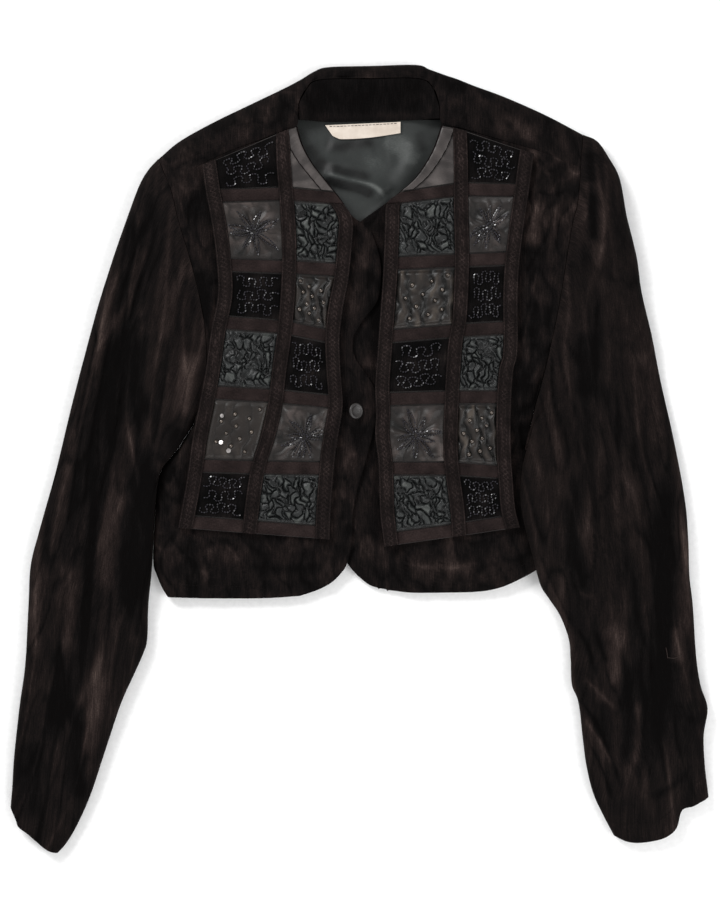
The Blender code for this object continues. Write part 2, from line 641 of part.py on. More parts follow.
def front_rows(top, spans, bottom, armhole, seam, side, neck, edge, drop):
    """Outer grid of a front: columns from the side to the centre, rows from shoulder to hem."""
    first = armhole.distance(seam)[1]
    upper = [share for share in armhole_shares(armhole, seam) if share > first - 1e-6]
    armhole_part = armhole.length * (1 - first)
    whole = armhole_part + side.length
    down = [(share - first) * armhole.length / whole for share in upper]
    down += [(armhole_part + side.length * s) / whole for s in side_shares()[1:]]
    corner = min(down, key=lambda v: abs(v - neck.length / (neck.length + edge.length)))

    def outer(v):
        along = v * whole
        if along <= armhole_part + 1e-9:
            return armhole.at(first + along / armhole.length)
        return side.at((along - armhole_part) / side.length)

    def centre(v):
        if v <= corner:
            return neck.at(v / corner)
        return edge.at((v - corner) / (1 - corner))

    across = [SIDE_FOLD * s for s in FOLD_SHARES] + shares(2 * spans)[1:]
    rows = []
    for v, line in zip(down, plan_grid(top, bottom, outer, centre, across, down)):
        x0, y0 = line[0]
        if v <= down[len(upper) - 1] + 1e-9:
            edge_z = armhole_high(armhole, first + v * whole / armhole.length)
        else:
            edge_z = body_top(x0, y0) / 2 + SEAM_GAP
        row = []
        for u, (x, y) in zip(across, line):
            change = (edge_z - body_top(x0, y0)) * (1 - roll(u / SIDE_FOLD))
            row.append(Vector((x, y, body_top(x, y) + change - drop(x, y))))
        rows.append(row)
    return rows


def seam_stretch(first, last):
    """Stretch of the forward seam between two of its stations."""
    count = len(FORWARD_SEAM) - 1
    return lambda share: along_stations(FORWARD_SEAM, (first + (last - first) * share) / count)


def build_fronts():
    """Right front over the left one, buttoned."""
    spans = len(FORWARD_SEAM) - 1
    rows = front_rows(
        seam_stretch(0, NECK_FIRST_STATION), NECK_FIRST_STATION, Curve(RIGHT_HEM).at,
        Curve(RIGHT_ARMHOLE), FORWARD_SEAM[0], Curve(RIGHT_SIDE), Curve(RIGHT_NECK),
        Curve(RIGHT_FRONT_EDGE), lambda x, y: 0.0)
    lower_top_edge(rows)
    wall("front_right", rows, "velvet", VELVET)

    rows = front_rows(
        seam_stretch(spans, NECK_LAST_STATION), spans - NECK_LAST_STATION, Curve(LEFT_HEM).at,
        Curve(LEFT_ARMHOLE), FORWARD_SEAM[-1], Curve(LEFT_SIDE), Curve(LEFT_NECK), Curve(LEFT_FRONT_EDGE),
        lambda x, y: LEFT_FRONT_DROP * (1 - smoothstep((x - LEFT_DROP_FROM) / LEFT_DROP_WIDTH)))
    lower_top_edge(rows)
    wall("front_left", rows, "velvet", -VELVET)


def lower_top_edge(rows):
    """Leave the seam gap between a front and the back at the shoulder seam."""
    for point in rows[0]:
        point.y -= SHOULDER_EASE


# Sleeves

SLEEVE_RINGS = 17
INNER_LAG = 1.3
SLEEVE_EASE = SEAM_GAP * 1.6
JOINED_LENGTH = 0.12
EVEN_FROM = 0.4


def build_sleeve(name, armhole, seam, cuff, outer, inner, folds, towards_body, over_body):
    """Sleeve: a flattened tube through rings, from the armhole seam to the open cuff."""
    armhole, cuff, outer, inner = Curve(armhole), Curve(cuff), Curve(outer), Curve(inner)
    folds = with_curves(folds)
    head = armhole_shares(armhole, seam)
    low_side = low_steps(head)[1:-1]
    rows = []
    for ring in range(SLEEVE_RINGS + 1):
        t = ring / SLEEVE_RINGS
        length = armhole.length + (cuff.length - armhole.length) * t
        turn = SLEEVE_ROLL + (CUFF_ROLL - SLEEVE_ROLL) * smoothstep(t)
        ends = [turn / length * s for s in FOLD_SHARES]
        steps = len(head) - 2 * len(ends) + 1
        level = [ends[-1] + (1 - 2 * ends[-1]) * s for s in shares(steps)[1:-1]]
        even = ends + level + [1 - s for s in reversed(ends)]
        columns = [h + (e - h) * smoothstep(t / EVEN_FROM) for h, e in zip(head, even)]
        row = []
        for u, upper in [(u, True) for u in columns] + [(columns[k], False) for k in low_side]:
            x, y = coons(
                (armhole.at(0), armhole.at(1), armhole.at(u)), (cuff.at(0), cuff.at(1), cuff.at(u)),
                outer.at(t), inner.at(t ** INNER_LAG), u, t)
            lift = over_body(x, y, u, t)
            joined = smoothstep(t / JOINED_LENGTH)
            top = body_top(x, y) * (1 - joined) + sleeve_top(x, y, folds) * joined
            turned = roll(min(u, 1 - u) * length / turn)
            middle = top / 2
            z = lift + (middle + (top - middle) * turned if upper else middle * (1 - turned))
            row.append(Vector((x - towards_body * SLEEVE_EASE, y, z)))
        rows.append(row)
    wall(name, rows, "velvet", VELVET * towards_body, closed=True)


def over_left_side():
    """How far the left sleeve is lifted where it lies over the body's side."""
    side = Curve(LEFT_SIDE)
    hem_corner = LEFT_SIDE[-1]

    def lift(x, y, u, t):
        away, _ = side.distance((x, y))
        inside = x < side_x(side, y) and hem_corner[1] - LIFT_HEM_SPARE < y < side.line[0][1]
        over = 1.0 if inside else 1 - smoothstep((away - LIFT_REACH) / LIFT_FADE)
        at_seam = smoothstep((u - LIFT_SEAM_FROM) / LIFT_SEAM_WIDTH)
        at_seam *= 1 - smoothstep(t / LIFT_SEAM_LENGTH)
        amount = max(over * smoothstep(t / LIFT_START), at_seam)
        return amount * (smooth_body(min(x, LIFT_READ_X), y) + LEFT_SLEEVE_UNDER_BODY)

    return lift


def side_x(curve, y):
    """X of a curve at a height Y, read from its nearest sampled point."""
    return min(curve.line, key=lambda point: abs(point[1] - y))[0]


# Neck: lining, facing and label

def build_neck():
    """Satin lining and velvet facing that the neck opening shows, and the bare label."""
    folds = with_curves(LINING_FOLDS)
    corners = LINING_CORNERS

    def lining_top(x, y):
        return LINING_REST + SATIN + max(rise_of_folds(folds, x, y), 0.0)

    rows, under = [], []
    for v in shares(11):
        left, right = mix(corners[0], corners[3], v), mix(corners[1], corners[2], v)
        line = [mix(left, right, u) for u in shares(12)]
        rows.append([Vector((x, y, lining_top(x, y))) for x, y in line])
        under.append([Vector((x, y, lining_top(x, y) - SATIN)) for x, y in line])
    wall("back_lining", rows, "lining", inner=under)

    seam = seam_stretch(*FACING_STATIONS)
    left, right = (Curve(side, along_stations) for side in FACING_SIDES)
    lower_height = LINING_REST + SATIN + ON_TOP_GAP + VELVET
    rows = []
    for v in shares(5):
        row = []
        for u in shares(3 * (FACING_STATIONS[1] - FACING_STATIONS[0])):
            x, y = plan_grid(seam, Curve(FACING_LOWER_EDGE).at, left.at, right.at, [u], [v])[0][0]
            x, y = (c + (p - c) * ease for c, p, ease in zip(FACING_CENTRE, (x, y), FACING_EASE))
            from_seam = min(v * FACING_DEPTH, min(u, 1 - u) * FACING_WIDTH)
            sunk = smoothstep(from_seam / FACING_SINK)
            row.append(Vector((x, y, mix((body_top(x, y),), (lower_height,), sunk)[0])))
        rows.append(row)
    wall("neck_facing", rows, "velvet", VELVET)

    rows, under = [], []
    for v in shares(2):
        left = mix(LABEL_CORNERS[0], LABEL_CORNERS[3], v)
        right = mix(LABEL_CORNERS[1], LABEL_CORNERS[2], v)
        row, low = [], []
        for u in shares(8):
            x, y = mix(left, right, u)
            y -= LABEL_DIP * v * math.sin(math.pi * u)
            z = lining_top(x, y) + ON_TOP_GAP
            row.append(Vector((x, y, z + LABEL)))
            low.append(Vector((x, y, z)))
        rows.append(row)
        under.append(low)
    wall("label", rows, "label", inner=under)


# Patchwork overlay panels

def panel_surface(x, y):
    """Underside of an overlay panel where it lies on its front."""
    return smooth_body(x, y) + OVERLAY_CLEARANCE


def read_guide(points, y):
    """Place on a guide line at a height Y; the line runs down from its first point."""
    for a, b in zip(points, points[1:]):
        if y >= b[1]:
            share = (a[1] - y) / (a[1] - b[1])
            return mix(a, b, share)
    return points[-1]


def row_line(panel, heights):
    """Three places of a row line: outer edge, middle line and inner edge."""
    return [read_guide(guide, y) for guide, y in zip((panel.outer, panel.middle, panel.inner), heights)]


def row_heights(panel, row, share):
    """Heights of a row line between the ribbon above a patch row and the one below it."""
    upper = panel.top if row == 0 else tuple(y - RIBBON_HALF for y in panel.bands[row - 1])
    lower = tuple(y + RIBBON_HALF for y in panel.bands[row])
    return mix(upper, lower, share)


def ribbon_heights(panel, row, share):
    """Heights of a row line across a ribbon, from its upper edge to its lower one."""
    return tuple(y + RIBBON_HALF * (1 - 2 * share) for y in panel.bands[row])


def on_row(line, guide, inwards):
    """Place on a row line, a distance towards the centre front from one of its three guides."""
    neighbour = guide + (1 if inwards > 0 else -1)
    if not 0 <= neighbour <= 2:
        return line[guide]
    reach = math.dist(line[guide], line[neighbour])
    return mix(line[guide], line[neighbour], min(abs(inwards) / reach, 0.45))


def lifted(place, height):
    """Point over a place of a panel, a height above the panel's underside."""
    return Vector((*place, panel_surface(*place) + height))


def build_panel(panel):
    """Overlay panel: backing, patches and ribbons on it, and braids over both."""
    half = BRAID_WIDTH / 2
    lines = []
    for row in range(ROWS):
        lines += [row_line(panel, row_heights(panel, row, s)) for s in shares(2)[min(row, 1):]]
        lines.append(row_line(panel, ribbon_heights(panel, row, 1.0)))
    backing = []
    for line in lines:
        stops = [line[0], on_row(line, 0, BRAID_WIDTH), on_row(line, 1, -half), on_row(line, 1, half),
                 on_row(line, 2, -BRAID_WIDTH), line[2]]
        places = [stops[0], stops[1], mix(stops[1], stops[2], 0.5), stops[2], line[1], stops[3],
                  mix(stops[3], stops[4], 0.5), stops[4], stops[5]]
        backing.append([lifted(place, BACKING) for place in places])
    under = [[p - Vector((0, 0, BACKING)) for p in row] for row in backing]
    wall("overlay_" + panel.side, backing, "plain", inner=under)

    layer_one = BACKING + ON_TOP_GAP
    layer_two = layer_one + PATCH + ON_TOP_GAP
    for patch in PATCHES:
        build_patch(panel, patch, layer_one)
    for row in range(ROWS):
        build_strip(
            "ribbon_%s_%d" % (panel.side, row + 1),
            [ribbon_places(row_line(panel, ribbon_heights(panel, row, s)))
             for s in (RIBBON_SPARE, 1 - RIBBON_SPARE)],
            layer_one, RIBBON)
    for name, first_row, guide, from_guide, to_guide in (
            ("outer", 0, 0, 0.0, BRAID_WIDTH),
            ("middle", 0, 1, -half, half),
            ("inner", 1, 2, -BRAID_WIDTH, 0.0)):
        rows = []
        for row in range(first_row, ROWS):
            rows += [row_line(panel, row_heights(panel, row, s)) for s in shares(3)]
        rows.append(row_line(panel, ribbon_heights(panel, ROWS - 1, 1.0)))
        strip = []
        for line in rows:
            stops = [on_row(line, guide, from_guide), on_row(line, guide, to_guide)]
            if guide == 1:
                stops.insert(1, line[1])
            strip.append(stops)
        build_strip("braid_%s_%s" % (panel.side, name), strip, layer_two, BRAID)


def ribbon_places(line):
    """Places along a ribbon from the outer to the inner edge of its panel."""
    outer_part = [mix(line[0], line[1], s) for s in shares(3)[:-1]]
    return outer_part + [mix(line[1], line[2], s) for s in shares(3)]


def build_strip(name, places, height, thickness):
    """Flat trim that follows the panel, a height above its underside."""
    outer = [[lifted(place, height + thickness) for place in row] for row in places]
    inner = [[lifted(place, height) for place in row] for row in places]
    wall(name, outer, "braid", inner=inner)


def relief(kind, u, v, row, column):
    """Rise of a patch's outer face: ruched puckers or soft crinkles, none at its edges."""
    edge = min(min(u, 1 - u), min(v, 1 - v)) * 5
    seed = row * 1.7 + (0.9 if column == "outer" else 0.0)
    if kind == "ruched":
        across = math.sin(9.5 * u + 2.2 * math.sin(5 * v + seed))
        down = math.sin(8.5 * v + 1.8 * math.sin(6 * u - seed))
        return RUCHE * (0.55 + 0.45 * across * down) * smoothstep(edge)
    if kind == "crinkled":
        wave = math.sin(7 * u + 4 * v + seed + 1.3 * math.sin(4 * v))
        return CRINKLE * (0.5 + 0.5 * wave) * smoothstep(edge)
    return 0.0


PATCH_STEPS = {"ruched": 7, "crinkled": 5}


def build_patch(panel, patch, height):
    """One patch between its ribbons, tucked a little under the braids beside it."""
    half = BRAID_WIDTH / 2
    steps = PATCH_STEPS.get(patch.kind, 2)
    outer, inner = [], []
    for s in shares(steps):
        share = PATCH_ROW_SPARE + (1 - 2 * PATCH_ROW_SPARE) * s
        line = row_line(panel, row_heights(panel, patch.row, share))
        if patch.column == "outer":
            ends = on_row(line, 0, BRAID_WIDTH - PATCH_TUCK), on_row(line, 1, -half + PATCH_TUCK)
        elif patch.kind == "plain":
            ends = on_row(line, 1, half - PATCH_TUCK), line[2]
        else:
            ends = on_row(line, 1, half - PATCH_TUCK), on_row(line, 2, -BRAID_WIDTH + PATCH_TUCK)
        across = shares(steps if patch.kind == "crinkled" else steps + 1)
        places = [mix(*ends, u) for u in across]
        rises = [relief(patch.kind, u, s, patch.row, patch.column) for u in across]
        outer.append([lifted(place, height + PATCH + rise) for place, rise in zip(places, rises)])
        inner.append([lifted(place, height) for place in places])
    wall("patch_%s_%s_%d" % (panel.side, patch.column, patch.row + 1), outer, patch.kind, inner=inner)


def build_button():
    """Shank button, tilted in its buttonhole near the right front's edge."""
    bpy.ops.mesh.primitive_cylinder_add(vertices=28, radius=BUTTON_DIAMETER / 2, depth=BUTTON_THICKNESS)
    made = bpy.context.object
    mesh = made.data
    bpy.data.objects.remove(made)
    piece = add_piece("button", mesh, "button")
    bevel = piece.modifiers.new("edge", "BEVEL")
    bevel.width = BUTTON_BEVEL
    bevel.segments = 1
    bevel.limit_method = "ANGLE"
    piece.rotation_euler = (0.0, BUTTON_TILT, 0.0)
    x, y = BUTTON_PLACE
    reach_down = (BUTTON_DIAMETER / 2 - BUTTON_BEVEL) * math.sin(BUTTON_TILT)
    reach_down += BUTTON_THICKNESS / 2 * math.cos(BUTTON_TILT)
    piece.location = (x, y, body_top(x, y) + reach_down + SEAM_GAP)


clear_scene()
PARTS = bpy.data.collections.new("bolero_jacket")
bpy.context.scene.collection.children.link(PARTS)
build_back()
build_fronts()
build_sleeve(
    "sleeve_right", RIGHT_ARMHOLE, FORWARD_SEAM[0], RIGHT_CUFF, RIGHT_SLEEVE_OUTER, RIGHT_SLEEVE_INNER,
    RIGHT_SLEEVE_FOLDS, 1.0, lambda x, y, u, t: 0.0)
build_sleeve(
    "sleeve_left", LEFT_ARMHOLE, FORWARD_SEAM[-1], LEFT_CUFF, LEFT_SLEEVE_OUTER, LEFT_SLEEVE_INNER,
    LEFT_SLEEVE_FOLDS, -1.0, over_left_side())
build_neck()
build_panel(RIGHT_PANEL)
build_panel(LEFT_PANEL)
build_button()
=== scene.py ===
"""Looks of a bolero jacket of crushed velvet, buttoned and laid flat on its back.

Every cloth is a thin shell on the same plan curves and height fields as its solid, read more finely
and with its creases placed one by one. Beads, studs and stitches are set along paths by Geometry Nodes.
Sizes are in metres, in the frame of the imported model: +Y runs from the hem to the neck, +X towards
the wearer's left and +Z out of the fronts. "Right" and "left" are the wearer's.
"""
from __future__ import annotations

import logging
import math
from dataclasses import dataclass, field
from enum import Enum
from typing import Callable, Optional, Sequence

import bpy
import numpy as np
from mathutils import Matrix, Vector, noise

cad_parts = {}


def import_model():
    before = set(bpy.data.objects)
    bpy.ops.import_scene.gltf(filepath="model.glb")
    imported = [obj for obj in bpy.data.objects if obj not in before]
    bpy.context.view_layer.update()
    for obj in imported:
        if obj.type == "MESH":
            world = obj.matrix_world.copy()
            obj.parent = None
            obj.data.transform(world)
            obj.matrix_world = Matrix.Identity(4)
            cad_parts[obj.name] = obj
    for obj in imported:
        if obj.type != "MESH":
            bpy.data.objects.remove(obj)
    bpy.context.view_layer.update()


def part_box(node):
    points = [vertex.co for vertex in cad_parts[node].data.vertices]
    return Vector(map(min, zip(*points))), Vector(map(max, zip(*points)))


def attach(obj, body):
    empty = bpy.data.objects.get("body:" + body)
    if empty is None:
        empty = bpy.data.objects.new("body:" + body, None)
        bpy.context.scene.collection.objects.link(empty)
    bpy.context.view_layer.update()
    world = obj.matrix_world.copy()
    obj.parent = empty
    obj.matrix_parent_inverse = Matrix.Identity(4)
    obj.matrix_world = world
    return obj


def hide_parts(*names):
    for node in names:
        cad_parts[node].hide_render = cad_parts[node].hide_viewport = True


LOG = logging.getLogger("bolero_jacket")

Points = Sequence[tuple[float, float]]
Grid = np.ndarray
Plan = Callable[[Grid], Grid]
Material = bpy.types.Material
Mesh = bpy.types.Mesh
Piece = bpy.types.Object
Socket = bpy.types.NodeSocket

# Cloth thicknesses and clearances, the same as the solids'
VELVET_WALL = 0.0016
SATIN_WALL = 0.0010
PATCH_WALL = 0.0012
TRIM_WALL = 0.0012
LABEL_WALL = 0.0008
SEAM_GAP = 0.0003
SHOULDER_EASE = SEAM_GAP * 1.3
SLEEVE_EASE = SEAM_GAP * 1.6
ON_TOP_GAP = 0.0007
OVERLAY_CLEARANCE = 0.0009

# Heights of the laid cloth and how it rolls over at its outer folds, the same as the solids'
LAID_HEIGHT = 0.0125
SLEEVE_HEIGHT = 0.0150
SLEEVE_ROLL = 0.016
CUFF_ROLL = 0.006
SIDE_FOLD = 0.055
LINING_REST = 0.0019
LEFT_FRONT_DROP = 0.0032
LEFT_DROP_FROM = 0.022
LEFT_DROP_WIDTH = 0.030

# Patchwork sizes
BRAID_WIDTH = 0.0130
RIBBON_HALF = 0.0058
PATCH_TUCK = 0.0006
PANEL_MARGIN = 0.012
PATCH_ROWS = 6
FLAT_ROW = 4
LAYER_ONE = PATCH_WALL + ON_TOP_GAP
LAYER_TWO = LAYER_ONE + PATCH_WALL + ON_TOP_GAP
STITCH_LIFT = 0.00015
DINT_WIDTH = 0.0012
THREAD_LIFT = 0.0003
PIPING_RADIUS = 0.0006

# The photograph: height of its frame in pixels and how much of the surface each one covers
FRAME_HEIGHT = 918
METRES_PER_PIXEL = 0.0009
LENS = 100.0
SENSOR = 36.0


@dataclass(frozen=True)
class Mound:
    """Slow rise or hollow of the laid cloth."""

    x: float
    y: float
    reach_x: float
    reach_y: float
    rise: float


@dataclass(frozen=True)
class Fold:
    """Trough or ridge along a few points: its full width and the rise of its middle."""

    points: Points
    width: float
    rise: float


@dataclass(frozen=True)
class PaintedLightBand:
    """Stretch of painted light (tone above 0) or painted shade (tone below 0), mostly along a fold or crease.
    """

    points: Points
    width: float
    tone: float


def metres(millimetres: float) -> float:
    """Turn millimetres, as the tables give them, into metres."""
    return round(millimetres / 1000, 6)


def mm(*numbers: float) -> Points:
    """Points from X and Y in turn, in millimetres."""
    values = [metres(number) for number in numbers]
    return tuple(zip(values[::2], values[1::2]))


def fold(width: float, rise: float, *numbers: float) -> Fold:
    """Fold from its width, rise and points, in millimetres."""
    return Fold(mm(*numbers), metres(width), metres(rise))


def shade(width: float, tone: float, *numbers: float) -> PaintedLightBand:
    """Band of painted light or painted shade from its width in millimetres, its tone, and its points in
    millimetres.
    """
    return PaintedLightBand(mm(*numbers), metres(width), tone)


# Painted light on crests and painted shade in troughs: how much lighter the colour is for each metre that a
# crest stands up
PAINTED_LIGHT_OF_RELIEF = 240.0

# Plan of the body
TOP_OUTLINE = mm(-181, 270, -162, 286, -132, 303, -99, 319, -72, 332, -60, 338, -51, 343, -41, 349,
    -28, 353, 11, 354, 51, 355, 63, 351, 77, 346, 89, 342, 104, 336, 131, 326, 167, 310, 201, 292)
FORWARD_SEAM = mm(-169, 242, -147, 261, -118, 276, -88, 287, -68, 295, -56, 300, -55, 319, -48, 333,
    -36, 341, 10, 342, 54, 342, 67, 333, 72, 318, 74, 302, 92, 297, 122, 288, 162, 276, 198, 261)
NECK_STATIONS = (5, 13)
FACING_STATIONS = (7, 11)
RIGHT_ARMHOLE = mm(-181, 270, -175, 256, -169, 242, -162, 213, -153, 183, -144, 147, -138, 107, -139, 66,
    -150, 30)
LEFT_ARMHOLE = mm(201, 292, 199.5, 276.5, 198, 261, 196, 233, 190, 207, 182, 155, 177, 126, 167.5, 83,
    156.5, 42, 150, 9)
RIGHT_SIDE = mm(-150, 30, -164.6, 7, -179.6, -13, -184.6, -55, -186, -93, -183, -105, -178, -117,
    -173, -125)
LEFT_SIDE = mm(150, 9, 167, -6, 180, -30, 186, -60, 182, -81, 178, -89)
BACK_HEM = mm(-172, -123, -135, -108, -72, -93, -9, -87, 54, -85, 126, -84, 178, -87)
RIGHT_NECK = mm(-56, 299, -51, 282, -43, 267, -34, 255, -26, 245, -17, 234, -7, 219, 1, 213, 11, 204)
RIGHT_FRONT_EDGE = mm(11, 204, 19, 177, 17, 144, 2, 123, -6, 107, -4, 91, 6, 76, 14, 62, 16, 44, 13, 26,
    6, -1, -2, -28, -6, -51, -7, -73, -11, -94, -18, -105, -27, -113, -39, -119, -54, -124)
RIGHT_HEM = mm(-172, -125, -139, -126, -88, -126, -54, -124)
LEFT_NECK = mm(74, 301, 65, 276, 51, 254, 36, 240, 22, 229, 1, 214, -7, 204)
LEFT_FRONT_EDGE = mm(-7, 204, -12, 177, -13, 116, -13, 35, -13, -37, -13, -82, -11, -94, -6, -101,
    1, -108, 11, -115, 28, -119)
LEFT_HEM = mm(178, -89, 162, -99, 146, -108, 128, -116, 108, -120, 75, -121, 47, -121, 28, -119)

# Lining, facing and label
LINING_CORNERS = mm(-68, 306, 86, 306, 60, 170, -45, 170)
FACING_LOWER_EDGE = mm(-54.5, 305, -30, 304, 10, 304.5, 45, 305.5, 72.5, 306)
FACING_SIDES = (
    mm(-48, 333, -55, 319, -54.5, 305),
    mm(67, 333, 72, 318, 72.5, 306))
FACING_CENTRE = (0.0095, 0.3050)
FACING_EASE = (0.988, 0.982)
FACING_DEPTH = 0.036
FACING_WIDTH = 0.120
FACING_SINK = 0.030
LABEL_CORNERS = mm(-31, 301, 37, 304, 37, 290.5, -31, 288.5)
LABEL_DIP = 0.002
LABEL_RISE = 0.0035
LABEL_TUCK = 0.0022
LABEL_DROOP = 0.0030

# Slow rises of the laid cloth, the same as the solids'
BODY_MOUNDS = (
    Mound(-0.158, 0.222, 0.055, 0.060, 0.0110),
    Mound(0.178, 0.222, 0.055, 0.070, 0.0120),
    Mound(-0.075, 0.290, 0.040, 0.030, 0.0035),
    Mound(0.095, 0.295, 0.045, 0.030, 0.0035),
    Mound(0.010, 0.360, 0.070, 0.025, 0.0030),
    Mound(0.005, 0.200, 0.050, 0.050, -0.0030),
    Mound(-0.060, -0.140, 0.140, 0.050, -0.0030),
    Mound(0.080, -0.135, 0.120, 0.045, -0.0030),
    Mound(0.172, -0.040, 0.032, 0.070, -0.0030))
SLEEVE_MOUNDS = (
    Mound(-0.190, 0.205, 0.060, 0.070, 0.0070),
    Mound(0.212, 0.205, 0.060, 0.080, 0.0080),
    Mound(-0.300, -0.340, 0.080, 0.090, -0.0045),
    Mound(0.270, -0.340, 0.090, 0.090, -0.0040))

# Largest folds, the same as the solids'
BODY_FOLDS = (
    fold(30, -3, -152, 29, -172, -2, -180, -30),
    fold(26, 2.2, -160, 75, -154, 30, -158, -20, -166, -70),
    fold(26, -1.8, -134, 120, -151, 105, -157, 60),
    fold(28, 2, 151, 138, 148, 112, 140, 60),
    fold(24, -2, 173, 217, 160, 177, 148, 160),
    fold(30, 1.2, -120, -70, -80, -85, -30, -80))
LINING_FOLDS = (
    fold(22, 4.2, -33, 258, -7, 251, 15, 245, 24, 236),
    fold(20, 2, -30, 283, -8, 276, 14, 280),
    fold(22, 2.6, 50, 290, 45, 262, 30, 240))

# Finer creases of the body's velvet
BODY_CREASES = (
    fold(9, -1.4, -153, 28, -165, 17, -174, 2, -181, -12),
    fold(8, -0.9, -180, -18, -177, -36, -172, -51),
    fold(6, -0.8, -151, -80, -149, -94, -150, -109),
    fold(6, 0.8, -143, -82, -141, -94, -142, -108),
    fold(7, -1.2, 173, 217, 167, 198, 155, 177, 148, 161),
    fold(12, 0.9, 163, 240, 156, 214, 158, 190),
    fold(9, 0.9, 156, 150, 163, 138, 166, 120),
    fold(6, -1.2, 145, 35, 147, 18, 149, 6),
    fold(9, 0.8, -4, 183, -9, 152, -7, 116),
    fold(8, -0.9, 11, 197, 8, 152, 15, 107),
    fold(9, -0.9, -13, -10, -9, -46, -12, -78),
    fold(7, -0.8, 0, 170, 12, 163, 18, 150),
    fold(12, 0.9, 36, -94, 72, -99, 108, -95),
    fold(10, -0.9, 124, -86, 138, -92, 160, -83),
    fold(12, -0.7, -108, -96, -63, -100, -27, -96),
    fold(5, -1, -147, 88, -152, 62, -149, 40),
    fold(6, 1, -157, 84, -160, 60, -155, 38),
    fold(5, -0.9, -143, 66, -152, 51, -161, 46),
    fold(6, 0.9, -160, 10, -166, -16, -175, -30),
    fold(6, -0.9, -137, 150, -141, 132, -136, 118),
    fold(6, 0.8, -158, 180, -149, 170, -139, 167),
    fold(8, -0.8, -145, 236, -153, 222, -151, 200),
    fold(6, -0.9, 152, 120, 156, 98, 152, 75),
    fold(7, -1, 157, 240, 172, 236, 186, 240),
    fold(7, 1, 150, 282, 160, 262, 158, 246),
    fold(6, -0.8, 128, 306, 140, 292, 147, 280),
    fold(6, 0.9, 166, 282, 178, 268, 190, 266),
    fold(5, 0.8, 143, 60, 146, 44, 143, 26),
    fold(7, -0.8, -120, 285, -132, 272, -150, 268))

# Painted light (above 0) and painted shade (below 0) along the body's folds and creases
BODY_PAINTED_LIGHT = (
    shade(22, -0.22, -144, 171, -140, 126),
    shade(22, -0.40, -170, -4, -178, -20),
    shade(26, -0.04, -54, -96, -108, -98, -144, -92),
    shade(30, 0.10, 63, -100, 108, -96),
    shade(26, 0.26, 162, 233, 155, 188),
    shade(24, -0.25, 160, 143, 154, 107),
    shade(20, -0.20, 150, 80, 144, 35),
    shade(20, 0.16, -12, 8, -9, -55),
    shade(22, -0.22, 15, 143, 11, 89),
    shade(20, 0.14, 2, 188, 0, 143),
    shade(40, 0.04, -99, 292, -150, 262),
    shade(26, 0.24, 125, 302, 165, 290),
    shade(16, -0.02, -20, 348, 40, 349))


@dataclass(frozen=True)
class SleevePlan:
    """Plan, folds, and painted light and shade of one sleeve, with the size that it is cut to."""

    side: str
    towards_body: float
    armhole: Points
    outer: Points
    inner: Points
    cuff: Points
    folds: Sequence[Fold]
    creases: Sequence[Fold]
    painted_light_and_tone: Sequence[PaintedLightBand]
    cut: tuple[float, float]
    cut_area: float
    skew: float


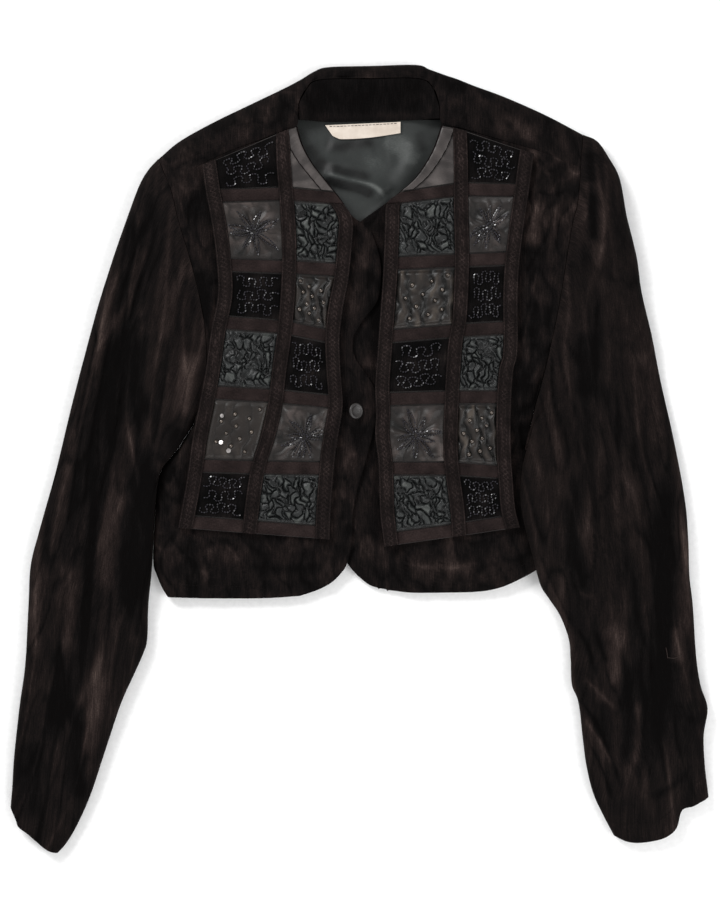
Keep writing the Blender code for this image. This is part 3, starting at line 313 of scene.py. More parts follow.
RIGHT_SLEEVE = SleevePlan(
    side="right",
    towards_body=1.0,
    armhole=RIGHT_ARMHOLE,
    outer=mm(-181, 270, -190, 260, -198, 246, -208, 219, -222, 179, -235, 138, -246, 98, -260, 44,
        -273, -10, -288, -64, -296, -96, -298, -132, -301, -186, -306, -222, -311, -267, -313, -298,
        -314.5, -314),
    inner=mm(-150, 30, -157.5, 18.6, -164.3, 7.8, -171, -0.6, -177, -8, -179.7, -13.5, -181.9, -25,
        -183.7, -43, -185.2, -64, -186.2, -88, -187.4, -107, -190, -132, -191, -163, -195, -177,
        -203, -195, -215, -222, -230, -267, -242, -303, -254, -330, -264, -347, -272, -356),
    cuff=mm(-314.5, -314, -310, -324, -307, -332, -298, -339, -288, -348, -279, -354, -272, -356),
    folds=(
        fold(34, -4.8,  -171, 234, -186, 194, -199, 158, -209, 124, -217, 85, -223, 52, -229, -1,
            -241, -102, -250, -158, -254, -215),
        fold(34, 3, -150, 185, -166, 149, -178, 109, -190, 68, -196, 20),
        fold(34, 3.5, -216, 165, -232, 97, -240, 52, -252, -20),
        fold(30, 3.2, -210, 50, -200, -10, -195, -55, -198, -130),
        fold(40, 2.6, -262, -60, -272, -140, -279, -230)),
    creases=(
        fold(9, -2,  -171, 234, -181, 207, -190, 178, -199, 152, -206, 126, -210, 102, -213, 73, -216, 45,
            -223, 7, -230, -19, -238, -65, -243, -111, -247, -156, -252, -209),
        fold(10, 0.7, -208, 185, -217, 161, -225, 140, -233, 107, -237, 71),
        fold(9, -1.3, -219, 126, -225, 98, -228, 67, -234, 34, -235, -1),
        fold(8, 0.8, -206, 102, -209, 63, -208, 31, -202, 0, -197, -37),
        fold(7, 1.1, -188, 196, -197, 168, -205, 140, -209, 112),
        fold(10, -1.2, -200, 118, -203, 80, -202, 48, -196, 20),
        fold(8, -0.9, -152, 168, -158, 150, -163, 134),
        fold(8, -1, -191, -123, -196, -143, -201, -163),
        fold(14, -1.2, -212, -70, -210, -110, -204, -150),
        fold(16, -1.3, -270, -163, -264, -208, -259, -244),
        fold(18, 1.2, -236, -170, -240, -220, -252, -280),
        fold(10, 0.7, -288, -91, -291, -145, -289, -181),
        fold(6, -1.4, -232, 128, -241, 85, -249, 48, -256, 10),
        fold(6, -1.6, -224, 110, -231, 70, -238, 30, -243, -10, -248, -50),
        fold(5, -1.3, -241, 62, -249, 22, -256, -20, -262, -60),
        fold(6, -1.4, -192, 215, -203, 180, -212, 150, -219, 120),
        fold(5, -1.2, -178, 190, -190, 158, -196, 130),
        fold(7, -1.1, -262, -100, -268, -150, -272, -200, -280, -260),
        fold(6, -1.1, -222, -110, -226, -160, -232, -205)),
    # Painted light (above 0) and painted shade (below 0) along the sleeve's folds and creases
    painted_light_and_tone=(
        shade(16, 0.08, -208, 185, -225, 140, -233, 107, -243, 62, -251, 34, -259, -1),
        shade(14, 0.26, -149, 186, -166, 150, -178, 109, -189, 69, -195, 44),
        shade(18, 0.26, -221, 17, -225, -37, -228, -91, -230, -127),
        shade(24, 0.26, -264, -91, -266, -145, -264, -181),
        shade(14, 0.22, -288, -64, -291, -118, -293, -181),
        shade(22, 0.08, -268, -235, -270, -271, -264, -307),
        shade(14, 0.20, -230, -163, -232, -208, -239, -253, -248, -298),
        shade(6, 0.20, -207, 26, -198, -19, -192, -55),
        shade(10, -0.45, -217, 116, -223, 53, -226, 8),
        shade(8, -0.40, -238, 10, -241, -60, -247, -150, -252, -209),
        shade(20, -0.34, -190, 17, -203, -55, -206, -109, -200, -145),
        shade(22, -0.55, -184, -5, -187, -40, -189, -90, -194, -135),
        shade(16, -0.28, -244, 10, -254, -60, -258, -100),
        shade(26, -0.26, -277, -208, -268, -232, -252, -217),
        shade(26, -0.24, -295, -253, -297, -298, -288, -325),
        shade(18, -0.46, -250, -230, -252, -270, -252, -310),
        shade(14, -0.30, -189, 116, -198, 71, -189, 35),
        shade(30, -0.12, -186, 240, -200, 200),
        shade(20, 0.34, -151, 98, -156, 64, -156, 34),
        shade(18, -0.36, -162, 30, -170, 12, -181, -4)),
    cut=(0.275, 0.640),
    cut_area=0.122,
    skew=0.18)

LEFT_SLEEVE = SleevePlan(
    side="left",
    towards_body=-1.0,
    armhole=LEFT_ARMHOLE,
    outer=mm(201, 292, 214, 286, 225, 270, 234, 252, 240, 219, 246, 195, 250, 177, 254, 149, 263, 111,
        271, 71, 283, 17, 293, -37, 296, -73, 297, -105, 300, -132, 303, -177, 307, -204, 313.5, -225,
        310, -249, 311, -276, 314.5, -305),
    inner=mm(150, 9, 145.5, -10, 144, -37, 148, -61, 154, -84, 162, -113, 170, -126, 180, -141, 188, -162,
        190, -181, 191, -204, 197, -220, 201, -253, 204, -276, 210, -301, 219, -321, 229, -340),
    cuff=mm(314.5, -305, 301, -313, 290, -317, 285, -333, 274, -342, 256, -346, 242, -345.5, 229, -340),
    folds=(
        fold(30, 3, 198, 259, 203, 225, 198, 206, 194, 160),
        fold(30, -3, 212, 250, 218, 214, 216, 185, 210, 140),
        fold(44, -4.8, 252, 110, 262, 20, 268, -80, 262, -160),
        fold(34, 3.4, 240, 30, 243, -60, 240, -130),
        fold(30, -2.8, 191, -172, 206, -186, 222, -192),
        fold(30, -2.6, 202, -232, 217, -255, 232, -275),
        fold(34, 3, 254, -154, 253, -204, 259, -235, 256, -270)),
    creases=(
        fold(8, 0.8, 202, 256, 205, 230, 199, 207),
        fold(9, 0.9, 212, 256, 217, 234, 219, 207, 215, 179, 212, 162),
        fold(8, -1.2, 207, 251, 208, 207, 209, 188),
        fold(8, 0.5, 268, 17, 261, -33, 252, -82, 249, -132, 245, -163),
        fold(8, -1.4, 255, -152, 252, -194, 256, -224, 252, -268, 243, -300),
        fold(8, -1.2, 210, -152, 216, -168, 223, -186),
        fold(8, 1.3, 200, -196, 216, -212, 233, -228),
        fold(10, 1.3, 200, -231, 216, -255, 230, -280),
        fold(8, -1, 186, -73, 188, -100, 197, -124, 202, -133),
        fold(8, 1.1, 196, -118, 204, -124, 210, -121),
        fold(10, -1, 157, -75, 166, -99, 177, -122, 194, -156),
        fold(8, -1.1, 260, -307, 278, -297, 295, -284),
        fold(12, -1.2, 234, -163, 238, -199, 234, -235),
        fold(16, 0.9, 224, 110, 222, 60, 226, -10),
        fold(14, -0.9, 205, 80, 203, 30, 208, -40),
        fold(6, -1.3, 194, -150, 205, -170, 214, -200),
        fold(6, -1.5, 197, -215, 212, -238, 226, -268, 236, -300),
        fold(5, -1.1, 206, -255, 218, -280, 228, -310),
        fold(6, -1, 214, 150, 212, 110, 214, 70),
        fold(6, -0.9, 232, 60, 232, 10, 238, -50),
        fold(6, -1.3, 262, -140, 262, -190, 266, -240)),
    # Painted light (above 0) and painted shade (below 0) along the sleeve's folds and creases
    painted_light_and_tone=(
        shade(18, -0.34, 207, 278, 204, 246),
        shade(10, -0.36, 209, 240, 209, 195),
        shade(18, -0.28, 219, 71, 222, 26, 224, -37),
        shade(16, 0.14, 260, 98, 265, 53, 267, 8),
        shade(12, -0.14, 266, 17, 259, -33, 251, -82, 248, -132, 243, -172),
        shade(12, 0.20, 291, -55, 294, -109, 292, -163),
        shade(16, 0.32, 281, -150, 285, -185),
        shade(18, 0.24, 225, -145, 231, -181, 227, -208),
        shade(12, 0.34, 247, -217, 254, -244, 249, -280),
        shade(12, 0.22, 160, -85, 171, -116, 186, -150, 194, -190),
        shade(30, 0.08, 172, 35, 182, -19, 182, -60),
        shade(26, -0.26, 202, 116, 202, 53),
        shade(22, -0.60, 276, -10, 273, -91, 271, -163, 267, -235, 261, -280),
        shade(13, -0.42, 244, -178, 242, -235, 238, -280),
        shade(12, -0.20, 234, -60, 236, -120),
        shade(16, -0.32, 195, -10, 190, -64, 196, -109),
        shade(14, -0.22, 216, -217, 218, -253),
        shade(18, -0.14, 297, -217, 299, -271)),
    cut=(0.295, 0.650),
    cut_area=0.130,
    skew=-0.10)


class Cloth(Enum):
    """Cloths of the patchwork."""

    VELVET = "velvet"
    PLAIN = "plain"
    SATIN = "satin"
    RUCHED = "ruched"
    CRINKLED = "crinkled"


@dataclass(frozen=True)
class PanelPlan:
    """Edges and middle line of an overlay panel, and where its ribbons cross them."""

    side: str
    outer: Points
    middle: Points
    inner: Points
    bands: Sequence[tuple[float, float, float]]
    top: tuple[float, float, float]


RIGHT_PANEL = PanelPlan(
    side="right",
    outer=mm(-141, 265, -138, 242, -132, 210, -128, 177, -127, 147, -133, 116, -138, 80, -144, 48,
        -150, 17, -155, -19, -163, -63, -165, -75),
    middle=mm(-69, 297, -68, 264, -65, 228, -63, 191, -64, 152, -67, 116, -72, 80, -76, 47, -83, 17,
        -92, -13, -99, -65, -100, -75),
    inner=mm(-57.5, 299, -52.5, 282, -44.5, 267, -35.5, 255, -27.5, 245, -18.5, 234, -6.5, 216, -7, 192,
        -10, 162, -15, 135, -18, 107, -17, 78, -15, 49, -18, 27, -22, 2, -26, -48, -27, -80),
    bands=(
        (0.235, 0.238, 0.234), (0.174, 0.172, 0.169), (0.123, 0.118, 0.108), (0.060, 0.056, 0.050),
        (-0.006, -0.008, -0.009), (-0.0565, -0.0615, -0.0670)),
    top=(0.2630, 0.2935, 0.2975))

LEFT_PANEL = PanelPlan(
    side="left",
    outer=mm(157, 278, 152, 242, 145, 192, 142, 152, 142, 98, 138, 78, 136, 44, 136, 8, 138, -22,
        140, -45, 144.5, -63, 146.5, -75),
    middle=mm(90, 299, 91, 264, 91, 229, 92, 179, 90, 128, 86, 102, 83, 56, 82, 4, 88, -47, 90, -80),
    inner=mm(75.5, 301, 66.5, 276, 52.5, 254, 37.5, 240, 24.5, 229, 23, 207, 21, 162, 18, 121, 16, 92,
        14, 65, 15, 40, 14, 21, 17, -4, 18, -36, 19, -54, 23, -85),
    bands=(
        (0.240, 0.242, 0.234), (0.180, 0.178, 0.175), (0.118, 0.115, 0.109), (0.055, 0.055, 0.053),
        (-0.013, -0.009, -0.009), (-0.0560, -0.0640, -0.0735)),
    top=(0.2730, 0.2955, 0.2985))

# Cloth of each patch, outer and inner column, from the shoulder down
PATCH_CLOTHS = (
    (Cloth.VELVET, Cloth.PLAIN), (Cloth.SATIN, Cloth.RUCHED), (Cloth.VELVET, Cloth.CRINKLED),
    (Cloth.RUCHED, Cloth.VELVET), (Cloth.CRINKLED, Cloth.SATIN), (Cloth.VELVET, Cloth.RUCHED))


def smoothstep(share: Grid) -> Grid:
    """Ease from 0 to 1."""
    share = np.clip(share, 0.0, 1.0)
    return share * share * (3 - 2 * share)


def roll(share: Grid) -> Grid:
    """Rise of a rounded fold, from 0 at its edge to 1 where it has turned flat."""
    share = np.clip(share, 0.0, 1.0)
    return np.sqrt(1 - (1 - share) ** 2)


def mix(first: Grid, second: Grid, share: Grid) -> Grid:
    """Point or value that lies a share of the way from the first to the second."""
    return first + (second - first) * share


def blended(points: Points, share: Grid) -> Grid:
    """Catmull-Rom curve through the points, each point at an even step of the share."""
    given = np.array(points, float)
    padded = np.vstack([2 * given[0] - given[1], given, 2 * given[-1] - given[-2]])
    place = np.clip(share, 0.0, 1.0) * (len(given) - 1)
    index = np.minimum(place.astype(int), len(given) - 2)
    t = (place - index)[..., None]
    a, b, c, d = (padded[index + k] for k in range(4))
    return 0.5 * (2 * b + (c - a) * t + (2 * a - 5 * b + 4 * c - d) * t ** 2
                  + (3 * b - a - 3 * c + d) * t ** 3)


class PlanCurve:
    """Smooth plan curve through a few points, read by the share of its length."""

    def __init__(self, points: Points, steps: int = 10) -> None:
        """Sample the curve, in so many steps between two points."""
        count = (len(points) - 1) * steps
        self.line = blended(points, np.linspace(0, 1, count + 1))
        runs = np.linalg.norm(np.diff(self.line, axis=0), axis=1)
        self.reach = np.concatenate([[0.0], np.cumsum(runs)])
        self.length = float(self.reach[-1])

    def at(self, share: Grid) -> Grid:
        """Places at the given shares of the length."""
        wanted = np.clip(share, 0.0, 1.0) * self.length
        return np.stack([np.interp(wanted, self.reach, self.line[:, k]) for k in range(2)], axis=-1)

    def near(self, x: Grid, y: Grid) -> tuple[Grid, Grid]:
        """Distance from places to the curve, and the share of the length where it is nearest."""
        best = np.full(np.shape(x), 1e9)
        share = np.zeros(np.shape(x))
        for (ax, ay), (bx, by), start, end in zip(self.line, self.line[1:], self.reach, self.reach[1:]):
            dx, dy = bx - ax, by - ay
            t = np.clip(((x - ax) * dx + (y - ay) * dy) / max(dx * dx + dy * dy, 1e-12), 0.0, 1.0)
            away = np.hypot(x - ax - dx * t, y - ay - dy * t)
            closer = away < best
            best = np.where(closer, away, best)
            share = np.where(closer, (start + t * (end - start)) / self.length, share)
        return best, share


def rise_of_mounds(mounds: Sequence[Mound], x: Grid, y: Grid) -> Grid:
    """Sum of the slow rises at each place."""
    total = np.zeros(np.shape(x))
    for mound in mounds:
        total += mound.rise * np.exp(
            -((x - mound.x) / mound.reach_x) ** 2 - ((y - mound.y) / mound.reach_y) ** 2)
    return total


def rise_along(points: Points, width: float, rise: float, x: Grid, y: Grid) -> Grid:
    """Rise that dies away across its width and towards both ends of its line."""
    away, share = PlanCurve(points, 6).near(x, y)
    across = np.where(away < width, np.exp(-(away / (0.42 * width)) ** 2), 0.0)
    return rise * across * smoothstep(np.minimum(share, 1 - share) / 0.18 + 0.12)


def rise_of_folds(folds: Sequence[Fold], x: Grid, y: Grid) -> Grid:
    """Sum of the soft folds at each place."""
    total = np.zeros(np.shape(x))
    for soft in folds:
        total = total + rise_along(soft.points, soft.width, soft.rise, x, y)
    return total


def rise_of_creases(creases: Sequence[Fold], x: Grid, y: Grid) -> Grid:
    """Sum of the fine creases at each place: sharp in the middle, soft beside it."""
    total = np.zeros(np.shape(x))
    for crease in creases:
        away, share = PlanCurve(crease.points, 6).near(x, y)
        crest = 0.75 * np.exp(-away / (0.13 * crease.width))
        sharp = crest + 0.55 * np.exp(-(away / (0.42 * crease.width)) ** 2)
        total += crease.rise * sharp * smoothstep(np.minimum(share, 1 - share) / 0.22 + 0.05)
    return total


def painted_light_and_mottle(bands: Sequence[PaintedLightBand], x: Grid, y: Grid, seed: int, relief: Grid = 0.0,
                 level: float = 0.36, skew: float = 0.0, stretch: float = 1.8) -> Grid:
    """Painted light and shade, with random mottle, at each place: 0 is darkest and 1 lightest.

    Args:
        bands: stretches of painted light (above 0) or painted shade (below 0).
        x: X of each place.
        y: Y of each place.
        seed: choice of the uneven patches.
        relief: height of the fine creases; their crests get painted light and their troughs painted shade.
        level: value where nothing changes it.
        skew: how far the streaks slant, X for each Y.
        stretch: how much longer than wide the streaks are.

    Returns:
        One value for each place.
    """
    total = np.full(np.shape(x), level)
    for band in bands:
        total += rise_along(band.points, band.width, band.tone, x, y)
    across = x - skew * y
    patches = 0.08 * uneven(across, y, 0.014, seed, stretch)
    patches += 0.09 * uneven(across, y, 0.006, seed + 1, stretch)
    return np.clip(total + patches + PAINTED_LIGHT_OF_RELIEF * relief, 0.0, 1.0)


def wrinkles(x: Grid, y: Grid, size: float, seed: int, stretch: float = 1.0) -> Grid:
    """Thin wandering ridges, 1 on a ridge and 0 between them."""
    return np.clip(1 - 2.2 * np.abs(uneven(x, y, size, seed, stretch)), 0, 1) ** 3


def uneven(x: Grid, y: Grid, size: float, seed: int, stretch: float = 1.0) -> Grid:
    """Smooth noise from about -1 to 1, in lumps of a size that are stretched along Y."""
    flat = [noise.noise(Vector((a / size, b / (size * stretch), seed * 7.31)))
            for a, b in zip(np.ravel(x), np.ravel(y))]
    return np.array(flat).reshape(np.shape(x)) * 1.6


def uneven_over(plan: Grid, size: float, seed: int, stretch: float = 1.0) -> Grid:
    """The same noise over a grid of plan places."""
    return uneven(plan[..., 0], plan[..., 1], size, seed, stretch)


def coons(top: Plan, bottom: Plan, left: Plan, right: Plan, u: Grid, v: Grid) -> Grid:
    """Plan surface between four edges, each a function of its share; u runs across and v down."""
    across, down = u[..., None], v[..., None]
    zero, one = np.zeros(1), np.ones(1)
    corners = ((1 - across) * (1 - down) * top(zero)[0] + across * (1 - down) * top(one)[0]
               + (1 - across) * down * bottom(zero)[0] + across * down * bottom(one)[0])
    edges = (1 - down) * top(u) + down * bottom(u) + (1 - across) * left(v) + across * right(v)
    return edges - corners


def crowded(count: int, crowd: float) -> Grid:
    """A count of shares from 0 to 1, more crowded near both ends as the crowd nears 1."""
    even = np.linspace(0, 1, count)
    return even - crowd * np.sin(2 * np.pi * even) / (2 * np.pi)


def unit_grid(down: int, across: int) -> list[Grid]:
    """Shares across and down a grid of so many rows and columns."""
    return np.meshgrid(np.linspace(0, 1, across), np.linspace(0, 1, down))


def between(corners: Points, u: Grid, v: Grid) -> Grid:
    """Plan places at shares across and down between four corners, given all round."""
    a, b, c, d = np.array(corners)
    return mix(mix(a, d, v[..., None]), mix(b, c, v[..., None]), u[..., None])


def edge_fade(u: Grid, v: Grid, share: float) -> Grid:
    """0 at the edges of a unit grid, rising to 1 inside."""
    return smoothstep(np.minimum(np.minimum(u, 1 - u), np.minimum(v, 1 - v)) / share)


def with_height(plan: Grid, z: Grid) -> Grid:
    """Join plan places and their heights."""
    return np.concatenate([plan, z[..., None]], axis=-1)


def run_lengths(grid: Grid, axis: int) -> Grid:
    """Distance travelled along each row (axis 1) or column (axis 0) of a grid of points."""
    steps = np.linalg.norm(np.diff(grid, axis=axis), axis=-1)
    start = np.zeros_like(np.take(steps, [0], axis=axis))
    return np.cumsum(np.concatenate([start, steps], axis=axis), axis=axis)


def seam_dint(away: Grid, width: float) -> Grid:
    """Dint, 1 deep, along a line of stitches that is so far away."""
    return np.exp(-(away / width) ** 2)


def new_piece(name: str, data: bpy.types.ID) -> Piece:
    """Object at the origin, in the scene."""
    piece = bpy.data.objects.new(name, data)
    bpy.context.scene.collection.objects.link(piece)
    return piece


def new_mesh(name: str, points: Sequence, edges: Sequence, faces: Sequence) -> Mesh:
    """Mesh of plain lists."""
    mesh = bpy.data.meshes.new(name)
    mesh.from_pydata(points, edges, faces)
    return mesh


def stitch_line(outer: Grid, columns: range, turning: float) -> Grid:
    """Line of stitches a turning above the lower edge of a grid of points."""
    runs = run_lengths(outer[::-1], 0)[::-1]
    rows = [int(np.argmin(np.abs(runs[:, column] - turning))) for column in columns]
    return outer[rows, list(columns)] + np.array([0, 0, STITCH_LIFT])


class Tailor:
    """Turns grids of points into closed cloth walls and paths into cords, and joins each to the body."""

    @staticmethod
    def normals(outer: Grid, closed: bool) -> Grid:
        """Unit normals of a grid of points."""
        if closed:
            wrapped = np.concatenate([outer[:, -1:], outer, outer[:, :1]], axis=1)
            across = wrapped[:, 2:] - wrapped[:, :-2]
        else:
            across = np.gradient(outer, axis=1)
        down = np.gradient(outer, axis=0)
        normal = np.cross(down, across)
        return normal / np.maximum(np.linalg.norm(normal, axis=-1, keepdims=True), 1e-12)

    @classmethod
    def wall(cls, name: str, outer: Grid, thickness: float, material: Material,
             closed: bool = False, inner: Optional[Grid] = None, painted_light_and_tone: Optional[Grid] = None,
             uv: Optional[Grid] = None) -> Piece:
        """Closed wall between an outer grid and the inner one under it.

        Args:
            name: name of the piece.
            outer: points of the face that shows, rows running down and columns across.
            thickness: distance to the inner grid, negative where the grid runs the other way round.
            material: finish of the piece.
            closed: whether the columns go all round a tube.
            inner: inner grid, where it isn't just the outer one moved in.
            painted_light_and_tone: painted light and shade, with random tone, at each outer point.
            uv: pattern place of each outer point, in metres.

        Returns:
            The new object, not yet on any body.
        """
        if inner is None:
            inner = outer - cls.normals(outer, closed) * thickness
        count_down, count_across = outer.shape[:2]
        under = count_down * count_across
        spans = count_across if closed else count_across - 1
        i, j = np.meshgrid(np.arange(count_down - 1), np.arange(spans), indexing="ij")
        after = (j + 1) % count_across
        a, b = i * count_across + j, i * count_across + after
        c, d = b + count_across, a + count_across
        faces = [np.stack([a, d, c, b], -1).reshape(-1, 4),
                 np.stack([a, b, c, d], -1).reshape(-1, 4) + under]
        j = np.arange(spans)
        after = (j + 1) % count_across
        low = (count_down - 1) * count_across
        faces.append(np.stack([j, after, under + after, under + j], -1))
        faces.append(np.stack([low + after, low + j, under + low + j, under + low + after], -1))
        if not closed:
            i = np.arange(count_down - 1)
            a, d = i * count_across, (i + 1) * count_across
            faces.append(np.stack([d, a, under + a, under + d], -1))
            b, c = a + count_across - 1, d + count_across - 1
            faces.append(np.stack([b, c, under + c, under + b], -1))
        quads = np.concatenate(faces)
        points = np.concatenate([outer.reshape(-1, 3), inner.reshape(-1, 3)])
        if thickness < 0:
            quads = quads[:, ::-1]
        mesh = bpy.data.meshes.new(name)
        mesh.vertices.add(len(points))
        mesh.vertices.foreach_set("co", points.ravel())
        mesh.loops.add(quads.size)
        mesh.loops.foreach_set("vertex_index", quads.ravel())
        mesh.polygons.add(len(quads))
        mesh.polygons.foreach_set("loop_start", np.arange(0, quads.size, 4))
        mesh.update(calc_edges=True)
        mesh.validate()
        cls.add_patterns(mesh, quads, under, painted_light_and_tone, uv)
        mesh.materials.append(material)
        mesh.shade_smooth()
        mesh.set_sharp_from_angle(angle=math.radians(55))
        return new_piece(name, mesh)

    @staticmethod
    def add_patterns(mesh: Mesh, quads: Grid, under: int, painted_light_and_tone: Optional[Grid],
                     uv: Optional[Grid]) -> None:
        """Store the painted light, shade and tone and the pattern places on a wall's mesh."""
        if painted_light_and_tone is not None:
            both = np.concatenate([np.ravel(painted_light_and_tone), np.ravel(painted_light_and_tone)]).astype(np.float32)
            mesh.attributes.new("painted_light_and_tone", "FLOAT", "POINT").data.foreach_set("value", both)
        if uv is not None:
            flat = uv.reshape(-1, 2)
            corners = flat[quads.ravel() % under]
            mesh.uv_layers.new(name="cloth").data.foreach_set("uv", corners.astype(np.float32).ravel())

    @staticmethod
    def tube(name: str, path: Grid, radius: float, material: Material) -> Piece:
        """Thin round cord along a path, closed at both ends."""
        heading = np.gradient(path, axis=0)
        heading /= np.linalg.norm(heading, axis=-1, keepdims=True)
        side = np.cross(heading, [0.0, 0.0, 1.0])
        side /= np.linalg.norm(side, axis=-1, keepdims=True)
        up = np.cross(side, heading)
        turns = np.linspace(0, math.tau, 7)[:-1]
        rings = [path + radius * (math.cos(t) * side + math.sin(t) * up) for t in turns]
        points = np.stack(rings, axis=1)
        count, sides = points.shape[:2]
        faces = [(i + j, i + (j + 1) % sides, i + sides + (j + 1) % sides, i + sides + j)
                 for i in range(0, (count - 1) * sides, sides) for j in range(sides)]
        faces.append(tuple(range(sides))[::-1])
        faces.append(tuple(range((count - 1) * sides, count * sides)))
        mesh = new_mesh(name, points.reshape(-1, 3).tolist(), [], faces)
        mesh.materials.append(material)
        mesh.shade_smooth()
        return new_piece(name, mesh)

    @staticmethod
    def join(piece: Piece, slot: str, *nodes: str) -> Piece:
        """Set a piece on the jacket's one body and hide the solids that it stands for."""
        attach(piece, "root")
        if nodes:
            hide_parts(*nodes)
        LOG.info("%s: %d faces", piece.name, len(piece.data.polygons))
        return piece


def linear(colour: str) -> tuple[float, float, float, float]:
    """Turn an sRGB hex value into a linear colour."""
    channels = [int(colour[k:k + 2], 16) / 255 for k in (1, 3, 5)]
    return (*(c / 12.92 if c <= 0.04045 else ((c + 0.055) / 1.055) ** 2.4 for c in channels), 1.0)


class NodeMaker:
    """Adds nodes to a tree."""

    tree: bpy.types.NodeTree

    def add(self, kind: str, values: Optional[dict] = None, links: Optional[dict] = None,
            **settings: object) -> bpy.types.Node:
        """Add a node with its settings, socket values and links."""
        node = self.tree.nodes.new(kind)
        for key, value in settings.items():
            setattr(node, key, value)
        for key, value in (values or {}).items():
            node.inputs[key].default_value = value
        for key, source in (links or {}).items():
            self.tree.links.new(source, node.inputs[key])
        return node


class Finish(NodeMaker):
    """Material under construction: a Principled shader and the nodes that feed it."""

    def __init__(self, name: str, roughness: float, **constants: float) -> None:
        """Make the material; the constants are its shader's sockets, with _ for a space."""
        self.material = bpy.data.materials.new(name)
        self.material.use_nodes = True
        self.tree = self.material.node_tree
        self.shader = self.tree.nodes["Principled BSDF"]
        self.shader.inputs["Roughness"].default_value = roughness
        for key, value in constants.items():
            self.shader.inputs[key.replace("_", " ")].default_value = value

    def ramp(self, source: Socket, *stops: tuple[float, str]) -> Socket:
        """Colour ramp through stops of place and sRGB hex value."""
        node = self.add("ShaderNodeValToRGB", links={"Fac": source})
        elements = node.color_ramp.elements
        while len(elements) < len(stops):
            elements.new(0.5)
        for element, (place, colour) in zip(elements, stops):
            element.position = place
            element.color = linear(colour)
        return node.outputs["Color"]

    def grain(self, size: tuple[float, float, float], detail: float = 3.0, uv: bool = False,
              rough: float = 0.55) -> Socket:
        """Noise whose lumps have the given sizes in metres, over the object or its pattern places."""
        if uv:
            place = self.add("ShaderNodeUVMap", uv_map="cloth").outputs["UV"]
        else:
            place = self.add("ShaderNodeTexCoord").outputs["Object"]
        scale = tuple(1.0 / value for value in size)
        mapped = self.add("ShaderNodeMapping", {"Scale": scale}, {"Vector": place})
        made = self.add(
            "ShaderNodeTexNoise", {"Scale": 1.0, "Detail": detail, "Roughness": rough},
            {"Vector": mapped.outputs["Vector"]})
        return made.outputs["Fac"]

    def painted_light_and_tone(self) -> Socket:
        """Painted light and shade of folds and creases, with random tone, that the mesh carries."""
        return self.add("ShaderNodeAttribute", attribute_name="painted_light_and_tone").outputs["Fac"]

    def rib(self, pitch: float, along: str, bend: float = 0.0) -> Socket:
        """Parallel threads a pitch apart, read from the pattern places."""
        place = self.add("ShaderNodeUVMap", uv_map="cloth").outputs["UV"]
        made = self.add(
            "ShaderNodeTexWave", {"Scale": math.pi / (10 * pitch), "Distortion": bend, "Detail": 1.0},
            {"Vector": place}, wave_type="BANDS", bands_direction=along, wave_profile="SIN")
        return made.outputs["Fac"]

    def sum(self, *terms: tuple[Socket, float], start: float = 0.0) -> Socket:
        """Weighted sum of values."""
        total = None
        for source, weight in terms:
            values, links = {1: weight, 2: start}, {0: source}
            if total is not None:
                values, links = {1: weight}, {0: source, 2: total}
            total = self.add("ShaderNodeMath", values, links, operation="MULTIPLY_ADD").outputs[0]
        return total

    def bump(self, source: Socket, depth: float) -> None:
        """Relief of the given depth in metres."""
        made = self.add("ShaderNodeBump", {"Strength": 1.0, "Distance": depth}, {"Height": source})
        self.tree.links.new(made.outputs["Normal"], self.shader.inputs["Normal"])

    def colour(self, source: Socket) -> None:
        """Feed the base colour."""
        self.tree.links.new(source, self.shader.inputs["Base Color"])

    def roughness(self, source: Socket) -> None:
        """Feed the roughness."""
        self.tree.links.new(source, self.shader.inputs["Roughness"])


@dataclass(frozen=True)
class CrushedVelvet:
    """Cotton velvet, pressed by wear into random crush patches; its colour also holds painted light and shade
    along its folds, dark in the troughs and brown on the crests.
    """

    name: str = "crushed_cotton_velvet"
    darkest: str = "#050404"
    dark: str = "#0c0a0a"
    middle: str = "#181312"
    light: str = "#2a2220"
    lightest: str = "#463b37"
    crush: float = 0.007
    fibre: tuple[float, float, float] = (0.0011, 0.0110, 0.0011)
    pile: float = 0.0009

    def material(self) -> Material:
        """Build the node tree."""
        finish = Finish(self.name, 0.85, Specular_IOR_Level=0.04, Sheen_Weight=0.03, Sheen_Roughness=0.5)
        finish.shader.inputs["Sheen Tint"].default_value = linear("#8d7c76")
        painted_light_and_tone = finish.painted_light_and_tone()
        crush = finish.grain((self.crush, self.crush * 2.0, self.crush), 4.0)
        fibre = finish.grain(self.fibre, 3.0, uv=True)
        pile = finish.grain((self.pile,) * 3, 1.0)
        # The mesh's painted light and shade of the folds, with random crush, fibre and pile mottle, picks the
        # colour from the ramp
        lean = finish.sum((painted_light_and_tone, 1.0), (crush, 0.28), (fibre, 0.70), (pile, 0.45), start=-0.735)
        finish.colour(finish.ramp(
            lean, (0.02, self.darkest), (0.26, self.dark), (0.50, self.middle), (0.76, self.light),
            (1.0, self.lightest)))
        finish.bump(finish.sum((crush, 0.5), (fibre, 0.35), (pile, 0.3)), 0.0006)
        return finish.material


